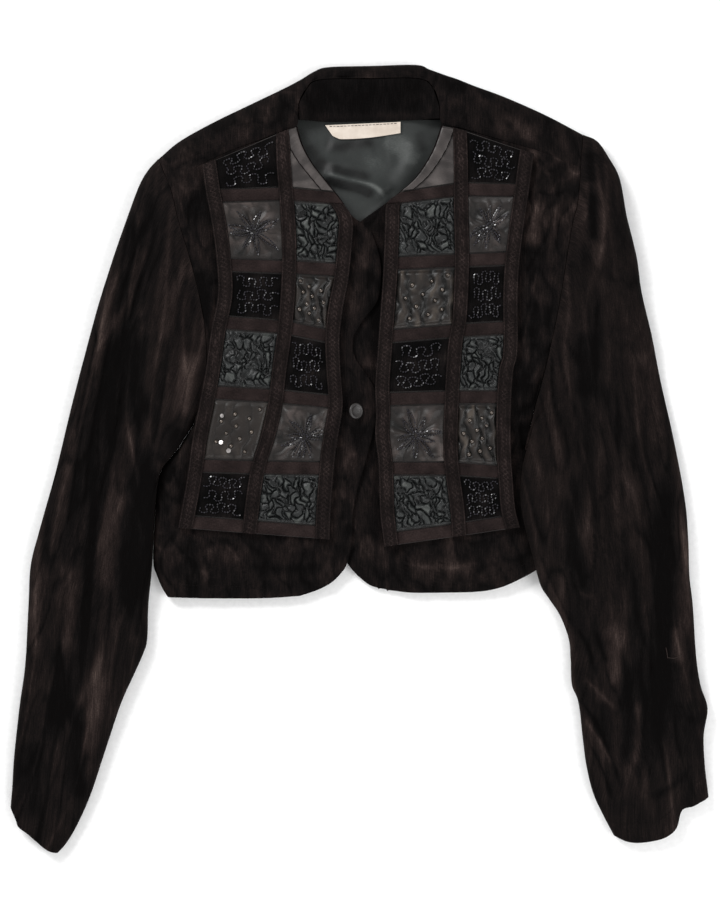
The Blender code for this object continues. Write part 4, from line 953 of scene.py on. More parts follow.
@dataclass(frozen=True)
class Satin:
    """Acetate satin: long smooth floats, so it shines softly along the weft and shows every crease."""

    name: str
    dark: str
    middle: str
    light: str
    roughness: float = 0.40
    float_length: tuple[float, float, float] = (0.0022, 0.0006, 0.0022)
    mottle: float = 0.016

    def material(self) -> Material:
        """Build the node tree."""
        finish = Finish(self.name, self.roughness, Specular_IOR_Level=0.30, Sheen_Weight=0.03,
                        Sheen_Roughness=0.35)
        floats = finish.grain(self.float_length, 2.0, uv=True)
        mottle = finish.grain((self.mottle,) * 3, 3.0)
        painted_light_and_tone = finish.painted_light_and_tone()
        # The mesh's value holds painted highlights on crests and painted shade in creases and hollows, with
        # random mottle
        tone = finish.sum((painted_light_and_tone, 1.0), (mottle, 0.40), (floats, 0.30), start=-0.35)
        finish.colour(finish.ramp(tone, (0.0, self.dark), (0.5, self.middle), (1.0, self.light)))
        finish.roughness(finish.sum((floats, 0.18), (mottle, 0.10), start=self.roughness - 0.14))
        finish.bump(floats, 0.00010)
        return finish.material


@dataclass(frozen=True)
class WovenTrim:
    """Rayon braid or ribbon: close ribs, dull brown-black, with paler threads where it is rubbed."""

    name: str
    dark: str
    middle: str
    light: str
    rib_pitch: float
    slant: float

    def material(self) -> Material:
        """Build the node tree."""
        finish = Finish(self.name, 0.85, Specular_IOR_Level=0.06, Sheen_Weight=0.02, Sheen_Roughness=0.5)
        ribs = finish.rib(self.rib_pitch, "Y", self.slant)
        cross = finish.rib(self.rib_pitch * 1.3, "X", self.slant)
        rub = finish.grain((0.006,) * 3, 4.0)
        thread = finish.grain((0.0009, 0.0016, 0.0009), 2.0, uv=True)
        painted_light_and_tone = finish.painted_light_and_tone()
        tone = finish.sum(
            (painted_light_and_tone, 0.80), (ribs, 0.16), (cross, 0.12), (rub, 0.40), (thread, 0.80), start=-0.74)
        finish.colour(finish.ramp(tone, (0.0, self.dark), (0.5, self.middle), (1.0, self.light)))
        finish.bump(finish.sum((ribs, 0.6), (cross, 0.3), (thread, 0.4)), 0.00022)
        return finish.material


@dataclass(frozen=True)
class LabelTaffeta:
    """Polyester taffeta tape: plain weave, cream, a little yellowed and frayed at its ends."""

    name: str = "cream_taffeta_tape"
    dark: str = "#8f8277"
    middle: str = "#c4b7aa"
    light: str = "#e2d8cc"
    thread: float = 0.0006

    def material(self) -> Material:
        """Build the node tree."""
        finish = Finish(self.name, 0.62, Specular_IOR_Level=0.4, Sheen_Weight=0.1)
        ribs = finish.rib(self.thread, "X")
        picks = finish.rib(self.thread * 0.9, "Y")
        yellowing = finish.grain((0.012,) * 3, 3.0)
        tone = finish.sum((yellowing, 0.75), (ribs, 0.08), (picks, 0.08), start=0.18)
        finish.colour(finish.ramp(tone, (0.0, self.dark), (0.55, self.middle), (1.0, self.light)))
        finish.bump(finish.sum((ribs, 0.5), (picks, 0.5)), 0.00008)
        return finish.material


@dataclass(frozen=True)
class Mottled:
    """Small or plain stuff: one colour that clouds a little from a dark to a light tone."""

    name: str
    dark: str
    light: str
    roughness: float
    lump: float
    sockets: Sequence[tuple[str, float]]
    detail: float = 2.0
    light_at: float = 0.7
    scuff: tuple[float, float] = (0.0, 0.0)

    def material(self) -> Material:
        """Build the node tree."""
        finish = Finish(self.name, self.roughness, **dict(self.sockets))
        cloud = finish.grain((self.lump,) * 3, self.detail)
        finish.colour(finish.ramp(cloud, (0.3, self.dark), (self.light_at, self.light)))
        if self.scuff[0] > 0:
            finish.roughness(finish.sum((cloud, self.scuff[0]), start=self.scuff[1]))
        return finish.material


@dataclass(frozen=True)
class ButtonResin:
    """Cast polyester button: grey, satin polished, cloudy inside and a little scratched."""

    name: str = "grey_cast_resin"
    dark: str = "#131111"
    middle: str = "#242120"
    light: str = "#3c3938"

    def material(self) -> Material:
        """Build the node tree."""
        finish = Finish(self.name, 0.42, IOR=1.50, Coat_Weight=0.08, Coat_Roughness=0.25)
        cloud = finish.grain((0.004,) * 3, 4.0)
        scratch = finish.grain((0.0004, 0.006, 0.0004), 2.0)
        tone = finish.sum((cloud, 0.9), (scratch, 0.2), start=-0.05)
        finish.colour(finish.ramp(tone, (0.1, self.dark), (0.5, self.middle), (0.9, self.light)))
        finish.roughness(finish.sum((scratch, 0.25), start=0.32))
        finish.bump(scratch, 0.00003)
        return finish.material


# Pressed black glass: hard bright glints, nothing else
JET_GLASS = Mottled(
    "black_glass_bead", "#0c0b0d", "#26232a", 0.16, 0.003,
    (("IOR", 1.5), ("Coat_Weight", 0.3), ("Coat_Roughness", 0.12)), scuff=(0.2, 0.08))
# Plastic half-pearl under a bronze-grey pearl lacquer, worn duller on top
PEARL_LACQUER = Mottled(
    "bronze_pearl_lacquer", "#2a231e", "#6b6056", 0.25, 0.0018,
    (("Metallic", 0.35), ("Coat_Weight", 0.5), ("Coat_Roughness", 0.08)), 3.0, 0.75, (0.3, 0.12))
# Metallised film: a small bright mirror with a soft haze
SEQUIN_FILM = Mottled("silver_sequin_film", "#8a8482", "#dcd6d4", 0.22, 0.002, (("Metallic", 0.8),))
# Spun polyester thread: matt and twisted, and paler where the pile is rubbed away
MATT = (("Specular_IOR_Level", 0.05), ("Sheen_Weight", 0.02))
BLACK_THREAD = Mottled("black_thread", "#070606", "#1b1716", 0.85, 0.0006, MATT)
WORN_THREAD = Mottled("pale_worn_thread", "#231d1b", "#403734", 0.85, 0.0006, MATT)
# Seamless white paper: matt, with the faintest grain
STUDIO_PAPER = Mottled("white_studio_paper", "#f4f4f4", "#fbfbfb", 0.9, 0.004, (("Specular_IOR_Level", 0.2),))


def made(recipe: object) -> Material:
    """Field that makes the material of a finish."""
    return field(default_factory=recipe.material)


@dataclass
class Finishes:
    """Every material of the jacket, made once."""

    velvet: Material = made(CrushedVelvet())
    patch_velvet: Material = made(CrushedVelvet(
        "black_cotton_velvet", "#030303", "#070606", "#0e0c0c", "#1a1615", "#2e2725"))
    lining: Material = made(Satin("grey_green_lining_satin", "#050606", "#292c2b", "#626563", 0.52))
    plain: Material = made(Satin("plain_grey_satin", "#121010", "#302c2b", "#57514f", 0.45))
    satin: Material = made(Satin("warm_grey_satin", "#070605", "#231e1c", "#514845", 0.44))
    ruched: Material = made(Satin("slate_satin", "#040505", "#232525", "#4c4f4c", 0.42))
    crinkled: Material = made(Satin("olive_grey_satin", "#050403", "#221d1a", "#544c44", 0.42))
    braid: Material = made(WovenTrim("woven_braid", "#060404", "#1c1615", "#3f3432", 0.0011, 1.2))
    ribbon: Material = made(WovenTrim("ribbed_ribbon", "#0c0808", "#261e1d", "#3e3331", 0.0009, 0.6))
    label: Material = made(LabelTaffeta())
    glass: Material = made(JET_GLASS)
    pearl: Material = made(PEARL_LACQUER)
    sequin: Material = made(SEQUIN_FILM)
    button: Material = made(ButtonResin())
    thread: Material = made(BLACK_THREAD)
    pale_thread: Material = made(WORN_THREAD)
    paper: Material = made(STUDIO_PAPER)


class Grain(Enum):
    """Small solids that Geometry Nodes set along paths."""

    SEED_BEAD = "seed_bead"
    STUD = "stud"
    SEQUIN = "sequin"
    STITCH = "stitch"


@dataclass(frozen=True)
class GrainSize:
    """Sizes of one small solid and how closely it is set."""

    width: float
    length: float
    spacing: float


GRAIN_SIZES = {
    Grain.SEED_BEAD: GrainSize(0.0014, 0.0015, 0.0024),
    Grain.STUD: GrainSize(0.0034, 0.0026, 0.0),
    Grain.SEQUIN: GrainSize(0.0040, 0.0004, 0.0),
    Grain.STITCH: GrainSize(0.00045, 0.0022, 0.0032)}
BEAD_LIFT = GRAIN_SIZES[Grain.SEED_BEAD].width * 0.45


class Scatter(NodeMaker):
    """Geometry Nodes tree that sets copies of a small solid along paths or at loose points."""

    lean: float = 0.45
    unevenness: tuple[float, float] = (0.86, 1.12)

    def __init__(self, grain: Grain, material: Material) -> None:
        """Build the tree of one small solid and its finish."""
        self.grain = grain
        self.size = GRAIN_SIZES[grain]
        self.tree = bpy.data.node_groups.new("scatter_" + grain.value, "GeometryNodeTree")
        self.tree.interface.new_socket("Geometry", in_out="INPUT", socket_type="NodeSocketGeometry")
        self.inputs = {
            name: self.tree.interface.new_socket(name, in_out="INPUT", socket_type=kind).identifier
            for name, kind in (
                ("Width", "NodeSocketFloat"), ("Length", "NodeSocketFloat"),
                ("Spacing", "NodeSocketFloat"), ("Seed", "NodeSocketInt"))}
        self.tree.interface.new_socket("Geometry", in_out="OUTPUT", socket_type="NodeSocketGeometry")
        self.source = self.add("NodeGroupInput")
        solid = self.small_solid()
        if self.size.spacing > 0:
            points, rotation = self.along_paths()
        else:
            points, rotation = self.at_points()
        placed = self.add("GeometryNodeInstanceOnPoints", links={
            "Points": points, "Instance": solid, "Rotation": rotation,
            "Scale": self.random(*self.unevenness)})
        real = self.add("GeometryNodeRealizeInstances", links={"Geometry": placed.outputs["Instances"]})
        dressed = self.add("GeometryNodeSetMaterial", links={"Geometry": real.outputs["Geometry"]})
        dressed.inputs["Material"].default_value = material
        self.add("NodeGroupOutput", links={"Geometry": dressed.outputs["Geometry"]})

    def small_solid(self) -> Socket:
        """The solid that is repeated, at real size and with its length along Z."""
        width, length = self.source.outputs["Width"], self.source.outputs["Length"]
        half = self.add("ShaderNodeMath", {1: 0.5}, {0: width}, operation="MULTIPLY").outputs[0]
        if self.grain is Grain.STUD:
            ball = self.add("GeometryNodeMeshUVSphere", {"Segments": 12, "Rings": 7}, {"Radius": half})
            ratio = self.add("ShaderNodeMath", links={0: length, 1: width}, operation="DIVIDE").outputs[0]
            scale = self.add("ShaderNodeCombineXYZ", {"X": 1.0, "Y": 1.0}, {"Z": ratio})
            shaped = self.add("GeometryNodeTransform", links={
                "Geometry": ball.outputs["Mesh"], "Scale": scale.outputs["Vector"]})
            smooth = self.add("GeometryNodeSetShadeSmooth", links={"Geometry": shaped.outputs["Geometry"]})
            return smooth.outputs["Geometry"]
        sides = {Grain.SEED_BEAD: 6, Grain.SEQUIN: 14, Grain.STITCH: 5}[self.grain]
        made = self.add("GeometryNodeMeshCylinder", {"Vertices": sides}, {"Radius": half, "Depth": length})
        return made.outputs["Mesh"]

    def random(self, low: object, high: object, kind: str = "FLOAT") -> Socket:
        """Random value for each copy."""
        made = self.add("FunctionNodeRandomValue", {"Min": low, "Max": high}, {
            "Seed": self.source.outputs["Seed"]}, data_type=kind)
        return next(s for s in made.outputs if s.name == "Value" and s.enabled)

    def along_paths(self) -> tuple[Socket, Socket]:
        """Points a spacing apart along the paths, each turned to lie along its path."""
        curve = self.add("GeometryNodeMeshToCurve", links={"Mesh": self.source.outputs["Geometry"]})
        even = self.add("GeometryNodeResampleCurve", links={
            "Curve": curve.outputs["Curve"], "Length": self.source.outputs["Spacing"]}, mode="LENGTH")
        tangent = self.add("GeometryNodeInputTangent").outputs["Tangent"]
        aligned = self.add("FunctionNodeAlignRotationToVector", links={"Vector": tangent}, axis="Z")
        spin = self.add("FunctionNodeAxisAngleToRotation", {"Axis": (0.0, 0.0, 1.0)}, {
            "Angle": self.random(0.0, math.tau)})
        turned = self.add("FunctionNodeRotateRotation", links={
            "Rotation": aligned.outputs["Rotation"], "Rotate By": spin.outputs["Rotation"]})
        turned.rotation_space = "LOCAL"
        return even.outputs["Curve"], turned.outputs["Rotation"]

    def at_points(self) -> tuple[Socket, Socket]:
        """The given points, each copy leaning a little its own way."""
        points = self.add("GeometryNodeMeshToPoints", links={"Mesh": self.source.outputs["Geometry"]})
        angles = self.random((-self.lean,) * 3, (self.lean,) * 3, "FLOAT_VECTOR")
        turned = self.add("FunctionNodeEulerToRotation", links={"Euler": angles})
        return points.outputs["Points"], turned.outputs["Rotation"]

    def apply(self, name: str, paths: Sequence[Grid], seed: int) -> Piece:
        """Plain mesh of the solids, set along paths or at the points that they list."""
        points = np.concatenate(paths)
        edges = []
        first = 0
        for path in paths if self.size.spacing > 0 else ():
            edges += [(k, k + 1) for k in range(first, first + len(path) - 1)]
            first += len(path)
        holder = new_piece(name + "_paths", new_mesh(name + "_paths", points.tolist(), edges, []))
        modifier = holder.modifiers.new("scatter", "NODES")
        modifier.node_group = self.tree
        for key, value in (("Width", self.size.width), ("Length", self.size.length),
                           ("Spacing", self.size.spacing), ("Seed", seed)):
            modifier[self.inputs[key]] = value
        graph = bpy.context.evaluated_depsgraph_get()
        made = bpy.data.meshes.new_from_object(holder.evaluated_get(graph), depsgraph=graph)
        holder.modifiers.clear()
        bpy.data.objects.remove(holder)
        made.name = name
        return new_piece(name, made)


@dataclass
class Body:
    """Back, fronts and what the height of the laid body is."""

    finishes: Finishes
    hem_turning: float = 0.012
    hem_stitch_depth: float = 0.0004
    edge_turning: float = 0.006
    edge_width: float = 0.0020
    edge_drop: float = 0.0005
    cut_back: tuple[float, float] = (0.42, 0.50)
    cut_front: tuple[float, float] = (0.215, 0.46)
    shares_on_side: float = 0.42
    hem_paths: list[Grid] = field(default_factory=list)

    def smooth(self, x: Grid, y: Grid) -> Grid:
        """Height of the fronts' and shoulders' outer face before its folds."""
        return LAID_HEIGHT + rise_of_mounds(BODY_MOUNDS, x, y)

    def clear_of_panels(self, x: Grid, y: Grid) -> Grid:
        """0 under an overlay panel, rising to 1 beside or below it."""
        sides = []
        for panel in (RIGHT_PANEL, LEFT_PANEL):
            sign = -1 if panel.side == "right" else 1
            outer, inner = (Guide(points) for points in (panel.outer, panel.inner))
            out = sign * (x - outer.x(y)) / PANEL_MARGIN
            into = -sign * (x - inner.x(y)) / PANEL_MARGIN
            below = (min(panel.bands[-1]) - RIBBON_HALF - y) / PANEL_MARGIN
            sides.append(smoothstep(np.maximum(np.maximum(out, into), below)))
        return np.minimum(*sides)

    def top(self, x: Grid, y: Grid, creased: bool = False) -> Grid:
        """Height of the fronts' and shoulders' outer face, with its fine creases where asked."""
        clear = self.clear_of_panels(x, y)
        folds = rise_of_folds(BODY_FOLDS, x, y)
        folds = np.where(folds > 0, folds * clear, folds)
        height = self.smooth(x, y) + folds
        if creased:
            height += self.fine(x, y) * (0.15 + 0.85 * clear)
        return height

    def fine(self, x: Grid, y: Grid) -> Grid:
        """Fine creases and crush of the fronts and shoulders."""
        fine = rise_of_creases(BODY_CREASES, x, y)
        crush = 0.0004 * uneven(x, y, 0.020, 3, 1.5) + 0.0003 * uneven(x, y, 0.009, 4, 1.3)
        lines = 0.0010 * wrinkles(x, y, 0.026, 6, 1.5) + 0.0007 * wrinkles(x, y, 0.013, 8, 1.2)
        grooves = 0.0011 * wrinkles(x, y, 0.017, 10, 2.2)
        return fine + crush - grooves + lines * (0.3 + 0.7 * smoothstep(0.5 + uneven(x, y, 0.05, 9)))

    def armhole_height(self, curve: PlanCurve, share: Grid, side: float) -> Grid:
        """Height of the armhole seam on its upper side (1) or on the side under it (-1)."""
        place = curve.at(share)
        full = self.top(place[..., 0], place[..., 1])
        near_end = np.minimum(share, 1 - share) * curve.length
        return full / 2 * (1 + side * roll(near_end / SLEEVE_ROLL))

    def rolled(self, share: Grid, inset: Grid, upper: Grid) -> Grid:
        """Places a distance in from the top outline towards the forward seam."""
        outline, seam = blended(TOP_OUTLINE, share), blended(FORWARD_SEAM, share)
        reach = np.linalg.norm(outline - seam, axis=-1)
        room = np.where(upper, reach * 0.8 * inset / SLEEVE_ROLL, inset)
        return mix(outline, seam, np.clip(np.minimum(inset, room) / reach, 0, 1)[..., None])

    def build_back(self) -> None:
        """Back: flat on the table, turned up at the sides and rolled over the shoulders and neck."""
        hem = PlanCurve(BACK_HEM)
        share_low = self.shares_on_side

        def edge(armhole: PlanCurve, side: PlanCurve, v: Grid) -> tuple[Grid, Grid]:
            """Side seam and then armhole, from the hem up; v is 1 at the hem."""
            up = 1 - v
            turn = SLEEVE_ROLL / armhole.length
            on_side = side.at(1 - up / share_low)
            on_arm_share = 1 - (up - share_low) / (1 - share_low) * (1 - turn)
            on_arm = armhole.at(on_arm_share)
            side_z = self.top(on_side[..., 0], on_side[..., 1]) / 2 - SEAM_GAP
            arm_z = self.armhole_height(armhole, np.clip(on_arm_share, 0, 1), -1.0)
            low = up < share_low
            return np.where(low[..., None], on_side, on_arm), np.where(low, side_z, arm_z)

        right = PlanCurve(RIGHT_ARMHOLE), PlanCurve(RIGHT_SIDE)
        left = PlanCurve(LEFT_ARMHOLE), PlanCurve(LEFT_SIDE)
        spans = len(FORWARD_SEAM) - 1
        right_fold = SIDE_FOLD * NECK_STATIONS[0] / spans
        left_fold = SIDE_FOLD * (spans - NECK_STATIONS[1]) / spans
        near_side = np.linspace(0, 1, 8) ** 2
        across = np.concatenate([
            right_fold * near_side, np.linspace(right_fold, 1 - left_fold, 120)[1:-1],
            1 - left_fold * near_side[::-1]])
        v = np.unique(np.concatenate([np.linspace(0, 1, 64), [1 - share_low]]))[::-1]
        u_grid, v_grid = np.meshgrid(across, v)
        inset = np.array(SLEEVE_ROLL)
        plan = coons(
            lambda s: self.rolled(s, inset, np.array(False)), hem.at,
            lambda s: edge(*right, s)[0], lambda s: edge(*left, s)[0], u_grid, v_grid)
        z = edge(*right, v)[1][:, None] * (1 - roll(u_grid / right_fold))
        z = z + edge(*left, v)[1][:, None] * (1 - roll((1 - u_grid) / left_fold))
        rows = [with_height(plan, z)]
        turn = np.concatenate([-np.linspace(1, 0, 12)[1:] ** 2, np.linspace(0, 1, 14)[1:] ** 2])
        u_grid, q_grid = np.meshgrid(across, turn)
        plan = self.rolled(u_grid, SLEEVE_ROLL * np.abs(q_grid), q_grid > 0)
        full = self.top(plan[..., 0], plan[..., 1])
        rows.append(with_height(plan, full / 2 * (1 + np.sign(q_grid) * roll(np.abs(q_grid)))))
        start = rows[-1][-1]
        for share in np.linspace(0, 1, 9)[1:]:
            flat = mix(start[:, :2], blended(FORWARD_SEAM, across), share)
            rows.append(with_height(flat, self.top(flat[:, 0], flat[:, 1], True))[None])
        outer = np.concatenate(rows)
        x, y = outer[..., 0], outer[..., 1]
        # Painted light and shade along the back's folds and creases, with random mottle
        painted_light_and_tone = painted_light_and_mottle(BODY_PAINTED_LIGHT, x, y, 11, self.fine(x, y))
        piece = Tailor.wall(
            "back_velvet", outer, VELVET_WALL, self.finishes.velvet, painted_light_and_tone=painted_light_and_tone, uv=outer[..., :2])
        Tailor.join(piece, "velvet", "back")

    def front(self, name: str, stations: tuple[int, int], armhole: Points, side: Points, hem: Points,
              neck: Points, edge: Points, flip: bool) -> Piece:
        """One front, from the forward seam to the hem.

        Args:
            name: name of the solid that it replaces.
            stations: stretch of the forward seam, from the armhole to the neck.
            armhole, side, hem, neck, edge: points of its five edges.
            flip: whether this is the left front, which runs the other way round.

        Returns:
            The piece.
        """
        arm, seam_side, hem_line = PlanCurve(armhole), PlanCurve(side), PlanCurve(hem)
        neckline, edge_line = PlanCurve(neck), PlanCurve(edge)
        count = len(FORWARD_SEAM) - 1
        seam_end = blended(FORWARD_SEAM, np.array([stations[0] / count]))[0]
        first = float(arm.near(seam_end[:1], seam_end[1:])[1][0])
        arm_part = arm.length * (1 - first)
        whole = arm_part + seam_side.length
        corner = neckline.length / (neckline.length + edge_line.length)

        def top(share: Grid) -> Grid:
            """Forward seam, with the seam gap left free."""
            place = blended(FORWARD_SEAM, (stations[0] + (stations[1] - stations[0]) * share) / count)
            return place - np.array([0.0, SHOULDER_EASE])

        def outer_edge(v: Grid) -> Grid:
            """Armhole and then side seam."""
            along = v * whole
            on_arm = arm.at(first + along / arm.length)
            return np.where((along <= arm_part)[..., None], on_arm,
                            seam_side.at((along - arm_part) / seam_side.length))

        def centre(v: Grid) -> Grid:
            """Neckline and then front edge."""
            return np.where((v <= corner)[..., None], neckline.at(v / corner),
                            edge_line.at((v - corner) / (1 - corner)))

        v = np.unique(np.concatenate([crowded(150, 0.6), [corner, arm_part / whole]]))
        near_side = np.linspace(0, 1, 9) ** 2
        across = np.concatenate([SIDE_FOLD * near_side, SIDE_FOLD + (1 - SIDE_FOLD) * crowded(96, 0.7)[1:]])
        u_grid, v_grid = np.meshgrid(across, v)
        plan = coons(top, hem_line.at, outer_edge, centre, u_grid, v_grid)
        x, y = plan[..., 0], plan[..., 1]
        start = outer_edge(v)
        share = first + v * whole / arm.length
        side_top = self.top(start[:, 0], start[:, 1])
        edge_z = np.where(v * whole <= arm_part, self.armhole_height(arm, np.clip(share, 0, 1), 1.0),
                          side_top / 2 + SEAM_GAP)
        change = (edge_z - side_top)[:, None] * (1 - roll(u_grid / SIDE_FOLD))
        z = self.top(x, y, True) + change
        if flip:
            z = z - LEFT_FRONT_DROP * (1 - smoothstep((x - LEFT_DROP_FROM) / LEFT_DROP_WIDTH))
        z = z - self.edge_shape(x, y, hem_line, neckline, edge_line)
        outer = with_height(plan, z)
        # Painted light and shade along the front's folds and creases, with random mottle
        painted_light_and_tone = painted_light_and_mottle(BODY_PAINTED_LIGHT, x, y, 17 if flip else 13, self.fine(x, y))
        piece = Tailor.wall(
            name + "_velvet", outer, -VELVET_WALL if flip else VELVET_WALL, self.finishes.velvet,
            painted_light_and_tone=painted_light_and_tone, uv=outer[..., :2])
        Tailor.join(piece, "velvet", name)
        self.hem_paths.append(stitch_line(outer, range(6, outer.shape[1] - 3, 2), self.hem_turning))
        return piece

    def edge_shape(self, x: Grid, y: Grid, hem: PlanCurve, neckline: PlanCurve,
                   edge_line: PlanCurve) -> Grid:
        """How far the cloth drops at its turned edges, and the dint of the hem's stitching."""
        from_hem = hem.near(x, y)[0]
        from_edge = np.minimum(edge_line.near(x, y)[0], neckline.near(x, y)[0])
        nearest = np.minimum(from_hem, from_edge)
        drop = self.edge_drop * (1 - roll(nearest / self.edge_width))
        dint = self.hem_stitch_depth * seam_dint(from_hem - self.hem_turning, DINT_WIDTH)
        edge_dint = 0.5 * self.hem_stitch_depth * seam_dint(from_edge - self.edge_turning, DINT_WIDTH)
        return drop + dint + edge_dint

    def build_fronts(self) -> None:
        """Right front over the left one."""
        count = len(FORWARD_SEAM) - 1
        self.front("front_right", (0, NECK_STATIONS[0]), RIGHT_ARMHOLE, RIGHT_SIDE, RIGHT_HEM,
                   RIGHT_NECK, RIGHT_FRONT_EDGE, False)
        self.front("front_left", (count, NECK_STATIONS[1]), LEFT_ARMHOLE, LEFT_SIDE, LEFT_HEM,
                   LEFT_NECK, LEFT_FRONT_EDGE, True)

    def stitch_hems(self, stitches: Scatter) -> None:
        """Stitches of the fronts' hems."""
        Tailor.join(stitches.apply("hem_stitches", self.hem_paths, 5), "velvet")


class Guide:
    """Line that runs down a panel, read by its height Y."""

    def __init__(self, points: Points) -> None:
        """Sample the line through its points."""
        line = PlanCurve(points, 8).line
        self.heights = -line[:, 1]
        self.across = line[:, 0]

    def x(self, y: Grid) -> Grid:
        """X of the line at the given heights."""
        return np.interp(-y, self.heights, self.across)


@dataclass
class Sleeve:
    """One sleeve: a flattened tube from the armhole seam to the open cuff."""

    plan: SleevePlan
    body: Body
    finishes: Finishes
    rings: int = 170
    upper_columns: int = 112
    lower_columns: int = 52
    inner_lag: float = 1.3
    joined_length: float = 0.12
    cuff_hem: float = 0.018
    cuff_dint: tuple[float, float] = (0.0004, 0.0013)
    cuff_edge: tuple[float, float] = (0.0005, 0.0018)
    lift_under: float = 0.0010
    lift_reach: float = 0.012
    lift_fade: float = 0.035
    lift_read_x: float = 0.172

    def lift(self, x: Grid, y: Grid, u: Grid, t: Grid) -> Grid:
        """How far the left sleeve is lifted where it lies over the body's side."""
        if self.plan.side == "right":
            return np.zeros(np.shape(x))
        side = PlanCurve(LEFT_SIDE)
        away = side.near(x, y)[0]
        side_x = np.interp(-y, -side.line[:, 1], side.line[:, 0])
        inside = (x < side_x) & (y > LEFT_SIDE[-1][1] - 0.004) & (y < LEFT_SIDE[0][1])
        over = np.where(inside, 1.0, 1 - smoothstep((away - self.lift_reach) / self.lift_fade))
        at_seam = smoothstep((u - 0.60) / 0.38) * (1 - smoothstep(t / 0.12))
        amount = np.maximum(over * smoothstep(t / 0.03), at_seam)
        return amount * (self.body.smooth(np.minimum(x, self.lift_read_x), y) + self.lift_under)

    def top(self, x: Grid, y: Grid) -> Grid:
        """Height of the sleeve's outer face."""
        height = SLEEVE_HEIGHT + rise_of_mounds(SLEEVE_MOUNDS, x, y)
        return height + rise_of_folds(self.plan.folds, x, y) + self.fine(x, y)

    def fine(self, x: Grid, y: Grid) -> Grid:
        """Fine creases and crush of the sleeve."""
        seed = 21 if self.plan.side == "right" else 31
        across = x - self.plan.skew * y
        crush = 0.0003 * uneven(across, y, 0.018, seed, 5.0)
        crush = crush + 0.0002 * uneven(across, y, 0.008, seed + 1, 4.0)
        lines = 0.0009 * wrinkles(across, y, 0.020, seed + 2, 6.0)
        grooves = 0.0013 * wrinkles(across, y, 0.013, seed + 3, 5.0) * (0.4 + 0.6 * smoothstep(
            0.5 + 1.5 * uneven(across, y, 0.030, seed + 4, 3.0)))
        return rise_of_creases(self.plan.creases, x, y) + crush + lines - grooves

    def build(self, stitches: Scatter) -> None:
        """Build the sleeve and its cuff's stitches."""
        plan = self.plan
        armhole, cuff = PlanCurve(plan.armhole), PlanCurve(plan.cuff)
        outer_line, inner_line = PlanCurve(plan.outer), PlanCurve(plan.inner)
        t = np.concatenate([np.linspace(0, 0.1, 24)[:-1], np.linspace(0.1, 1, self.rings - 23)])
        upper = crowded(self.upper_columns, 0.9)
        lower = crowded(self.lower_columns, 0.9)[1:-1][::-1]
        u = np.concatenate([upper, lower])
        is_upper = np.arange(len(u)) < len(upper)
        u_grid, t_grid = np.meshgrid(u, t)
        places = coons(
            armhole.at, cuff.at, outer_line.at, lambda s: inner_line.at(s ** self.inner_lag), u_grid, t_grid)
        x, y = places[..., 0], places[..., 1]
        joined = smoothstep(t_grid / self.joined_length)
        top = self.body.top(x, y) * (1 - joined) + self.top(x, y) * joined
        top -= self.hem_dint(x, y, cuff)
        length = armhole.length + (cuff.length - armhole.length) * t_grid
        turn = SLEEVE_ROLL + (CUFF_ROLL - SLEEVE_ROLL) * smoothstep(t_grid)
        turned = roll(np.minimum(u_grid, 1 - u_grid) * length / turn)
        middle = top / 2
        z = np.where(is_upper, middle + (top - middle) * turned, middle * (1 - turned))
        z = z + self.lift(x, y, u_grid, t_grid)
        outer = np.stack([x - plan.towards_body * SLEEVE_EASE, y, z], axis=-1)
        # Painted light and shade along the sleeve's folds, crests lighter and troughs darker, with random
        # streaky mottle
        painted_light_and_tone = painted_light_and_mottle(plan.painted_light_and_tone, x, y, 41 if plan.side == "right" else 47, self.fine(x, y), 0.40,
                           plan.skew, 8.0)
        round_run = run_lengths(outer, 1)
        uv = np.stack([round_run, run_lengths(outer, 0)], axis=-1)
        piece = Tailor.wall(
            "sleeve_%s_velvet" % plan.side, outer, VELVET_WALL * plan.towards_body, self.finishes.velvet,
            closed=True, painted_light_and_tone=painted_light_and_tone, uv=uv)
        Tailor.join(piece, "velvet", "sleeve_" + plan.side)
        self.stitch_cuff(outer, len(upper), stitches)

    def hem_dint(self, x: Grid, y: Grid, cuff: PlanCurve) -> Grid:
        """Dint of the cuff's stitching and the drop of its turned edge."""
        away = cuff.near(x, y)[0]
        deep, wide = self.cuff_dint
        drop, reach = self.cuff_edge
        return deep * seam_dint(away - self.cuff_hem, wide) + drop * (1 - roll(away / reach))

    def stitch_cuff(self, outer: Grid, upper: int, stitches: Scatter) -> None:
        """Stitches round the upper side of the cuff."""
        line = stitch_line(outer, range(8, upper - 8, 2), self.cuff_hem)
        Tailor.join(stitches.apply("cuff_%s_stitches" % self.plan.side, [line], 7), "velvet")


